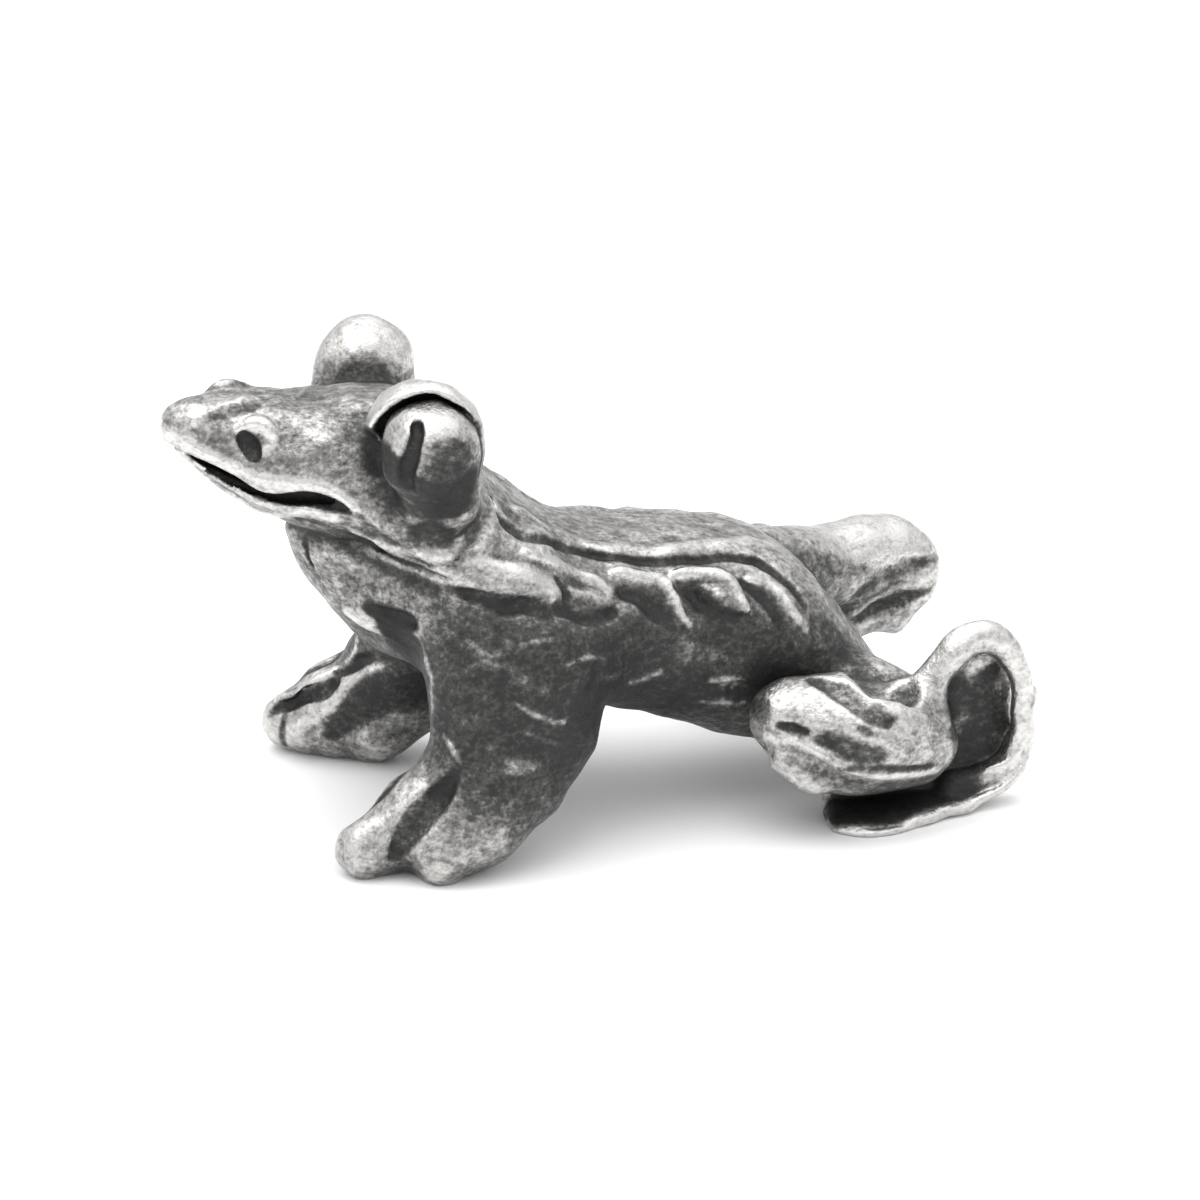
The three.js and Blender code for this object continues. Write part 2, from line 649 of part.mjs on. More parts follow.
// Each piece is cut back from the space of the pieces that it seats on
const headSpace = head(SEAM_GAP);
const jawSpace = lowerJaw(SEAM_GAP);
const torsoSpace = torso(SEAM_GAP);
const floor = ground();
addPiece('torso', cut(torso(0), [...flankCuts(), headSpace, jawSpace]), PEWTER, SATIN);
addPiece('head', cut(head(0), [nostril(LEFT), nostril(RIGHT)]), PEWTER, SATIN);
addPiece('lower_jaw', cut(lowerJaw(0), [headSpace]), PEWTER, SATIN);

const sides = [
  { name: 'left', side: LEFT, toes: LEFT_TOES, sole: LEFT_SOLE, kind: LEFT_EYE },
  { name: 'right', side: RIGHT, toes: RIGHT_TOES, sole: RIGHT_SOLE, kind: RIGHT_EYE },
];
for (const { name, side, toes, sole, kind } of sides) {
  const eyeSpace = eye(side, kind, SEAM_GAP);
  const lidSpace = eyelid(side, kind, SEAM_GAP);
  const ballCuts = [pupil(side, kind), headSpace, jawSpace];
  addPiece(`${name}_eye`, cut(eye(side, kind, 0), ballCuts), POLISHED, BRIGHT);
  addPiece(`${name}_eyelid`, cut(eyelid(side, kind, 0), [headSpace, jawSpace, eyeSpace]), PEWTER, SATIN);
  const armCuts = [torsoSpace, headSpace, jawSpace, eyeSpace, lidSpace, floor];
  addPiece(`${name}_foreleg`, cut(foreleg(side, toes, sole), armCuts), DARK, DULL);
}

addPiece('left_thigh', cut(leftThigh(0), [torsoSpace, floor]), POLISHED, BRIGHT);
addPiece('left_shank', cut(leftShank(0), [torsoSpace, leftThigh(SEAM_GAP), floor]), POLISHED, BRIGHT);
const leftFootCuts = [torsoSpace, leftThigh(SEAM_GAP), leftShank(SEAM_GAP), floor];
addPiece('left_hind_foot', cut(leftFoot(), leftFootCuts), PEWTER, SATIN);

addPiece('right_thigh', cut(rightThigh(0), [torsoSpace, floor]), POLISHED, BRIGHT);
addPiece('right_shank', cut(rightShank(0), [torsoSpace, rightThigh(SEAM_GAP), floor]), PEWTER, SATIN);
const rightFootCuts = [torsoSpace, rightThigh(SEAM_GAP), rightShank(SEAM_GAP), floor];
addPiece('right_hind_foot', cut(rightFoot(), rightFootCuts), PEWTER, SATIN);

// Middle of the footprint at the origin
const box = new THREE.Box3().setFromObject(frog);
const middle = box.getCenter(new THREE.Vector3());
frog.position.set(-middle.x, -middle.y, -box.min.z);

export default frog;
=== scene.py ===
"""Looks of a small cast frog figurine in antiqued pewter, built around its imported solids."""
import math

import bpy
import numpy as np
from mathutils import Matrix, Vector


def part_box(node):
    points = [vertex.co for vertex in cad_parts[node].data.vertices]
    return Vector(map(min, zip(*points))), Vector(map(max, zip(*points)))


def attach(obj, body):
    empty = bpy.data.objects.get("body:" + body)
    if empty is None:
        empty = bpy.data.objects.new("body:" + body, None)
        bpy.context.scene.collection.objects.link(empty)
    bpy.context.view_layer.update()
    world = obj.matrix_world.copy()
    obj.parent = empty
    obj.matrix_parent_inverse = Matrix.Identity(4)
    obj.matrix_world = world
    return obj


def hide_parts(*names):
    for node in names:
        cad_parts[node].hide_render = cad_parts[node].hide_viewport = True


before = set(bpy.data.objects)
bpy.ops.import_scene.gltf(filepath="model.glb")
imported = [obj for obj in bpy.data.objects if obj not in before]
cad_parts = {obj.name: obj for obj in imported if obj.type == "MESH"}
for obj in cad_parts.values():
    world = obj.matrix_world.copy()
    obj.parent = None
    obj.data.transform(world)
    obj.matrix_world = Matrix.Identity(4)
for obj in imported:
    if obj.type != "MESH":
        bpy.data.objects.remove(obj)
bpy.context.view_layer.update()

LEFT, BOTH, RIGHT = -1, 0, 1

# Fields of signed distance on a grid, in millimetres, negative inside the metal
STEP = 0.1
LOW = np.array((-16.6, -9.2, -0.5))
HIGH = np.array((16.8, 9.2, 18.7))
CORNERS = [(i, j, k) for i in (0, 1) for j in (0, 1) for k in (0, 1)]
# Value far outside, room around rods and balls and around bodies, least radius, guard for divisions
FAR, MARGIN, LOFT_MARGIN, THIN, TINY = 9.0, 0.9, 1.6, 0.02, 1e-9
# Spacing of the points on a rod's path, and on the path of a mark's finish
PATH_GAP, STROKE_GAP = 0.2, 0.25


class Grid:
    """Points at even steps between LOW and HIGH."""

    def __init__(self, step):
        self.step = step
        self.count = np.ceil((HIGH - LOW) / step).astype(int) + 1
        self.axes = [(LOW[i] + step * np.arange(self.count[i])).astype(np.float32) for i in range(3)]

    def empty(self):
        return np.full(tuple(self.count), FAR, np.float32)

    def window(self, low, high, side):
        """Slices and coordinates of a block; y is measured outward from the midplane."""
        low, high = np.array(low, float), np.array(high, float)
        if side == BOTH:
            low[1], high[1] = -high[1], high[1]
        elif side == LEFT:
            low[1], high[1] = -high[1], -low[1]
        first = np.maximum(0, ((low - LOW) / self.step).astype(int))
        last = np.minimum(self.count, ((high - LOW) / self.step).astype(int) + 2)
        part = tuple(slice(a, max(a, b)) for a, b in zip(first, last))
        x, y, z = (self.axes[i][part[i]] for i in range(3))
        y = np.abs(y) if side == BOTH else y * side
        return part, (x[:, None, None], y[None, :, None], z[None, None, :])


def soft_min(a, b, k):
    """Lower of two fields, rounded off where they come within k of each other."""
    if k <= 0:
        return np.minimum(a, b)
    h = np.maximum(k - np.abs(a - b), 0) / k
    return np.minimum(a, b) - h * h * (k / 4)


def curve(xs, values, x):
    """Smooth line through stations that never overshoots them."""
    xs, v = np.asarray(xs, float), np.asarray(values, float)
    dx = np.diff(xs)
    slope = np.diff(v) / dx
    m = np.zeros_like(v)
    for i in range(1, len(v) - 1):
        if slope[i - 1] * slope[i] > 0:
            m[i] = 2 * slope[i - 1] * slope[i] / (slope[i - 1] + slope[i])
    m[0], m[-1] = slope[0], slope[-1]
    x = np.clip(x, xs[0], xs[-1])
    i = np.clip(np.searchsorted(xs, x, side="right") - 1, 0, len(xs) - 2)
    h = dx[i]
    t = (x - xs[i]) / h
    return ((1 + 2 * t) * (1 - t)**2 * v[i] + t * (1 - t)**2 * h * m[i]
            + t * t * (3 - 2 * t) * v[i + 1] + t * t * (t - 1) * h * m[i + 1])


def put(field, part, shape, blend, carve):
    """Add a shape to part of a field, or carve it out."""
    shape = shape.astype(np.float32)
    field[part] = -soft_min(-field[part], shape, blend) if carve else soft_min(field[part], shape, blend)


def flow(points, radii, gap):
    """Close-set points on a smooth curve through a few, each with its radius."""
    p = np.column_stack([np.array(points, float), radii])
    if len(p) > 2:
        e = np.concatenate([[2 * p[0] - p[1]], p, [2 * p[-1] - p[-2]]])
        out = []
        for a, b, c, d in zip(e[:-3], e[1:-2], e[2:-1], e[3:]):
            n = max(1, int(np.ceil(np.linalg.norm((c - b)[:3]) / gap)))
            for t in np.arange(n)[:, None] / n:
                out.append(b + (c - a) * t / 2 + (2 * a - 5 * b + 4 * c - d) * t**2 / 2
                           + (3 * b - a - 3 * c + d) * t**3 / 2)
        p = np.array(out + [p[-1]])
    return p[:, :3], np.maximum(p[:, 3], THIN)


def limb(g, field, points, radii, blend=0.0, side=BOTH, flat=(1, 1, 1), inner=0.0, carve=False):
    """Rounded rod through points with a radius at each; flat stretches it along the axes.

    Without inner it follows a smooth path; with it, straight lengths melt together by that much.
    """
    p, r = np.array(points, float), np.array(radii, float) * np.ones(len(points))
    if inner == 0:
        p, r = flow(p, r, PATH_GAP)
    f = np.array(flat, float)
    reach = r.max() * f.max() + blend + MARGIN
    part, (x, y, z) = g.window(p.min(0) - reach, p.max(0) + reach, side)
    x, y, z = x / f[0], y / f[1], z / f[2]
    p = p / f
    out = None
    for a, b, ra, rb in zip(p[:-1], p[1:], r[:-1], r[1:]):
        way = b - a
        q = [x - a[0], y - a[1], z - a[2]]
        t = np.clip((q[0] * way[0] + q[1] * way[1] + q[2] * way[2]) / max(way @ way, TINY), 0, 1)
        gap = np.sqrt((q[0] - way[0] * t)**2 + (q[1] - way[1] * t)**2 + (q[2] - way[2] * t)**2)
        d = gap - (ra + (rb - ra) * t)
        out = d if out is None else soft_min(out, d, inner)
    put(field, part, out, blend, carve)


def ball(g, field, centre, radius, blend=0.0, side=BOTH, carve=False, clip=()):
    """Ball; each clip is a normal, an offset and a softness that keep one side of a plane."""
    c = np.array(centre, float)
    reach = radius + blend + MARGIN
    part, (x, y, z) = g.window(c - reach, c + reach, side)
    q = [x - c[0], y - c[1], z - c[2]]
    d = np.sqrt(q[0]**2 + q[1]**2 + q[2]**2) - radius
    for n, offset, soft in clip:
        d = -soft_min(-d, -(q[0] * n[0] + q[1] * n[1] + q[2] * n[2] - offset), soft)
    put(field, part, d, blend, carve)


def loft(g, field, xs, top, bottom, half, power=2.0):
    """Body with upright oval sections between top and bottom."""
    low = (xs[0] - LOFT_MARGIN, 0, min(bottom) - LOFT_MARGIN)
    high = (xs[-1] + LOFT_MARGIN, max(half) + LOFT_MARGIN, max(top) + LOFT_MARGIN)
    part, (x, y, z) = g.window(low, high, BOTH)
    t, b, w = (curve(xs, v, x[:, 0, 0]).astype(np.float32)[:, None, None] for v in (top, bottom, half))
    h = np.maximum((t - b) / 2, THIN)
    w = np.maximum(w, THIN)
    across, up = y / w, (z - (t + b) / 2) / h
    r = (np.abs(across)**power + np.abs(up)**power)**(1 / power)
    steep = np.sqrt((across / w)**2 + (up / h)**2) / np.maximum(r, 1e-4)
    d = np.maximum((r - 1) / np.maximum(steep, 1e-3), -np.minimum(w, h))
    past = np.maximum(np.maximum(xs[0] - x, x - xs[-1]), 0)
    d = np.where(past > 0, np.sqrt(np.maximum(d, 0)**2 + past**2), d)
    put(field, part, d, 0, False)


# Main forms, facing -x, with the left side toward -y
# Line of the mouth, side view, and how the slit below it closes behind the corner
LIP_X = [-15.4, -14.5, -13.8, -13.0, -12.3, -11.7, -10.8, -10.2, -9.46, -8.3, -7.0, -5.7, -4.0]
LIP_Z = [15.3, 14.92, 14.53, 14.1, 13.85, 13.77, 13.78, 13.7, 13.45, 12.4, 11.6, 11.1, 10.9]
SLIT_X, SLIT = (-9.7, -9.0), (0.14, -0.3)
LIP_ROUND = 0.25
# Middle and radius of each hood; the marks of the eyes are drawn for the first radius
EYE = 2.05
EYES = {LEFT: ((-6.79, 4.2, 15.88), EYE), RIGHT: ((-6.8, 4.15, 15.82), 1.8)}


def torso(g):
    d = g.empty()
    loft(g, d,
         [-10.8, -10.4, -9.4, -8.3, -7.0, -5.0, -3.3, -2.0, -0.5, 0.8, 3.0, 5.0, 6.7, 8.2, 9.8, 11, 11.8],
         [11.8, 12.5, 12.9, 13.3, 13.7, 13.7, 12.6, 11.6, 10.75, 10.5, 10.2, 9.95, 9.5, 8.45, 6.45, 4.75, 3.6],
         [11.0, 9.9, 8.5, 7.2, 6.3, 5.7, 5.2, 4.75, 4.25, 3.75, 2.85, 2.15, 1.75, 1.75, 1.9, 2.2, 2.9],
         [0.5, 1.3, 2.3, 3.0, 3.6, 4.0, 4.1, 4.0, 3.9, 3.9, 4.0, 4.1, 4.0, 3.7, 3.0, 2.1, 0.6], 2.2)
    return d


def along_lip(g, field, above):
    """Keep what lies above the line of the mouth, or below its slit."""
    part, (x, y, z) = g.window((-17, 0, 5), (-1, 8, 19), BOTH)
    line = curve(LIP_X, LIP_Z, x[:, 0, 0]).astype(np.float32)[:, None, None]
    gap = np.interp(x, SLIT_X, SLIT).astype(np.float32)
    cut = (line + THIN - z) if above else (z - line + gap)
    field[part] = -soft_min(-field[part], -cut, LIP_ROUND)


def head(g):
    d = g.empty()
    xs = [-15.35, -15.0, -14.1, -12.8, -11.4, -9.9, -8.2, -6.6, -5.0, -3.6, -2.6]
    top = np.array([16.2, 16.55, 16.8, 16.8, 16.65, 16.5, 16.45, 16.2, 15.1, 12.75, 11.3])
    half = [0.35, 0.85, 1.4, 2.1, 2.85, 3.45, 4.1, 4.5, 4.5, 3.6, 2.2]
    loft(g, d, xs, top, 2 * curve(LIP_X, LIP_Z, np.array(xs)) - top, half, 2.3)
    along_lip(g, d, True)
    return d


def jaw(g):
    d = g.empty()
    xs = [-15.0, -14.5, -13.2, -11.6, -10.2, -8.8, -7.2, -6.0]
    bottom = np.array([14.95, 14.5, 13.35, 12.3, 11.55, 11.1, 10.6, 10.4])
    half = [0.3, 0.75, 1.75, 2.6, 3.2, 3.7, 4.1, 4.2]
    loft(g, d, xs, 2 * curve(LIP_X, LIP_Z, np.array(xs)) - bottom, bottom, half, 2.0)
    along_lip(g, d, False)
    return d


# Normals of the planes that trim each hood: its front edge, its opening and its lower end
HOOD_FACE = np.array((-0.28, 0.95, -0.13))
HOOD_OPEN = np.array((0.39, 0.46, -0.8))
HOOD_LOW = np.array((-0.62, 0.15, -0.77))


def eye(g):
    d = g.empty()
    for side, ((x, y, z), r) in EYES.items():
        s = r / EYE
        out, size, neck, root = (.65, 1.74, 1.55, 1.4) if side == LEFT else (1.1, 1.5, 1.3, 1.3)
        ball(g, d, (x - .06 * s, y + out * s, z - .08 * s), size * s, side=side)
        limb(g, d, [(x + .2 * s, y + (out - .1) * s, z - .6 * s), (x + .45, y + .1, z - 2.3)],
             [neck * s, root * s], .6, side)
    return d


def lid(g):
    d = g.empty()
    for side, ((x, y, z), r) in EYES.items():
        s = r / EYE
        edge, room = (0, 1.95) if side == LEFT else (.5, 1.66)
        clip = [(HOOD_FACE, (.4 + edge) * s, .08)] + [(HOOD_LOW, .81 * s, .15)] * (side == LEFT)
        ball(g, d, (x - .08 * (side == LEFT), y, z), r + .12 * (side == LEFT), side=side, clip=clip)
        limb(g, d, [(x + .4 * s, y + .1 * s, z - .6), (x + .55, y - .6, z - 2.6)], [1.5 * s, 1.5 * s], .4, side)
        if side == RIGHT:
            limb(g, d, [(x - .9, y - .3, z - .2), (x - 1.75, y - .7, z - .45)], [.65, .35], .8, side)
        ball(g, d, (x - .22 * s, y + (.62 + edge) * s, z - .16 * s), room * s, .05, side, carve=True,
             clip=((HOOD_OPEN, .95 * s, .3),))
    return d


def foreleg(g):
    d = g.empty()
    limb(g, d, [(-4.3, 3.6, 9.5), (-3.7, 4.5, 6.6), (-4.55, 5.3, 3.7)], [2.4, 2.7, 2.3], inner=1,
         flat=(1.1, .85, 1))
    limb(g, d, [(-3.4, 3.9, 7.6), (-1.2, 3.1, 7.2), (1.6, 2.3, 6.8)], [2.2, 2.0, 1.7], 1.0, inner=.8)
    limb(g, d, [(-5.0, 5.2, 3.6), (-7.4, 5.3, 2.1), (-9.5, 5.2, 1.0)], [1.8, 1.35, 1.05], .8, LEFT, inner=.6)
    limb(g, d, [(-9.2, 5.2, .8), (-7.6, 5.3, .9)], [.8, .9], .4, LEFT)
    limb(g, d, [(-2.6, 4.0, 6.2), (-2.3, 4.7, 4.4), (-3.3, 5.4, 2.7)], [1.7, 1.5, 1.1], .8, inner=.6)
    limb(g, d, [(-4.3, 5.6, 3.2), (-5.5, 6.2, 1.8), (-6.9, 6.5, 0.95)], [1.75, 1.5, 1.15], .8, LEFT, inner=.6)
    limb(g, d, [(-5.0, 5.4, 3.6), (-7.4, 6.4, 2.1), (-9.1, 7.2, 1.0)], [1.8, 1.35, .95], .8, RIGHT, inner=.6)
    limb(g, d, [(-4.6, 5.2, 3.4), (-6.8, 6.0, 1.9), (-8.35, 6.45, 0.95)], [1.8, 1.3, .9], .8, RIGHT, inner=.6)
    limb(g, d, [(-4.8, 5.2, 2.6), (-6.3, 5.4, 1.3), (-7.5, 5.9, .9)], [1.6, 1.35, .95], .5, RIGHT, inner=.5)
    return d


def thigh(g):
    d = g.empty()
    limb(g, d, [(6.4, 5.6, 4.3), (8.8, 6.0, 3.65), (11.0, 5.7, 3.05)], [1.5, 2.2, 1.65], 0, LEFT)
    limb(g, d, [(5.75, 6.6, 3.2), (6.5, 6.9, 2.6), (7.5, 6.95, 2.4), (8.9, 7.0, 2.35), (10.3, 6.75, 2.35),
                (11.3, 6.2, 2.45)], [.5, .55, .6, .6, .55, .5], .5, LEFT)
    limb(g, d, [(8.8, 2.2, 4.4), (10.8, 3.8, 3.8), (11.6, 5.0, 3.6)], [1.5, 1.2, 1.0], .4, LEFT, inner=.3)
    limb(g, d, [(7.6, 2.6, 6.75), (10.8, 4.4, 5.95), (13.3, 5.4, 5.9), (14.3, 5.5, 5.5)], [1.85, 1.68, 1.6, 1.4], 0,
         RIGHT)
    return d


def shank(g):
    d = g.empty()
    limb(g, d, [(10.7, 5.5, 3.2), (11.5, 5.5, 4.75), (12.25, 5.6, 5.95), (13.2, 5.6, 6.6), (14.25, 5.6, 6.4),
                (15.0, 5.6, 5.4), (15.25, 5.6, 4.2), (15.15, 5.6, 3.0), (14.8, 5.6, 1.6)],
         [1.15, .62, .57, .66, .6, .44, .36, .34, .34], 0, LEFT)
    limb(g, d, [(13.5, 4.75, 5.4), (13.65, 4.75, 1.2)], [.75, .85], .4, LEFT, flat=(2.0, .42, 1))
    limb(g, d, [(14.3, 5.3, 4.6), (13.6, 5.1, 3.9), (12.0, 4.9, 3.8), (10.6, 5.2, 2.2)], [1.1, .85, .85, .9], 0,
         RIGHT, inner=.5)
    ball(g, d, (13.9, 5.2, 3.5), .75, .3, RIGHT)
    return d


def foot(g):
    d = g.empty()
    limb(g, d, [(8.9, 5.5, .2), (11.0, 5.3, .25), (12.8, 5.1, .35)], [1.2, 1.2, 1.0], 0, LEFT, flat=(1, 1.35, .35),
         inner=.3)
    limb(g, d, [(8.9, 4.2, .5), (12.6, 4.4, .8)], [.9, .9], .3, LEFT, flat=(1, .8, 1.2))
    limb(g, d, [(12.8, 5.2, .7), (14.3, 5.4, 1.1), (15.2, 5.4, 2.4), (15.5, 5.3, 4.1)], [.7, .55, .45, .42], .3,
         LEFT)
    limb(g, d, [(7.0, 6.4, 0.5), (9.6, 5.9, 0.7), (11.2, 5.5, 1.4)], [.9, .8, .8], 0, RIGHT, flat=(1, 1.3, .7),
         inner=.5)
    return d


# Each form with the width of its blend into those before it
BLENDS = [(torso, 0), (head, 1.0), (jaw, .1), (lid, .8), (foreleg, 1.8), (thigh, .3), (shank, .9), (foot, .15),
          (eye, .15)]


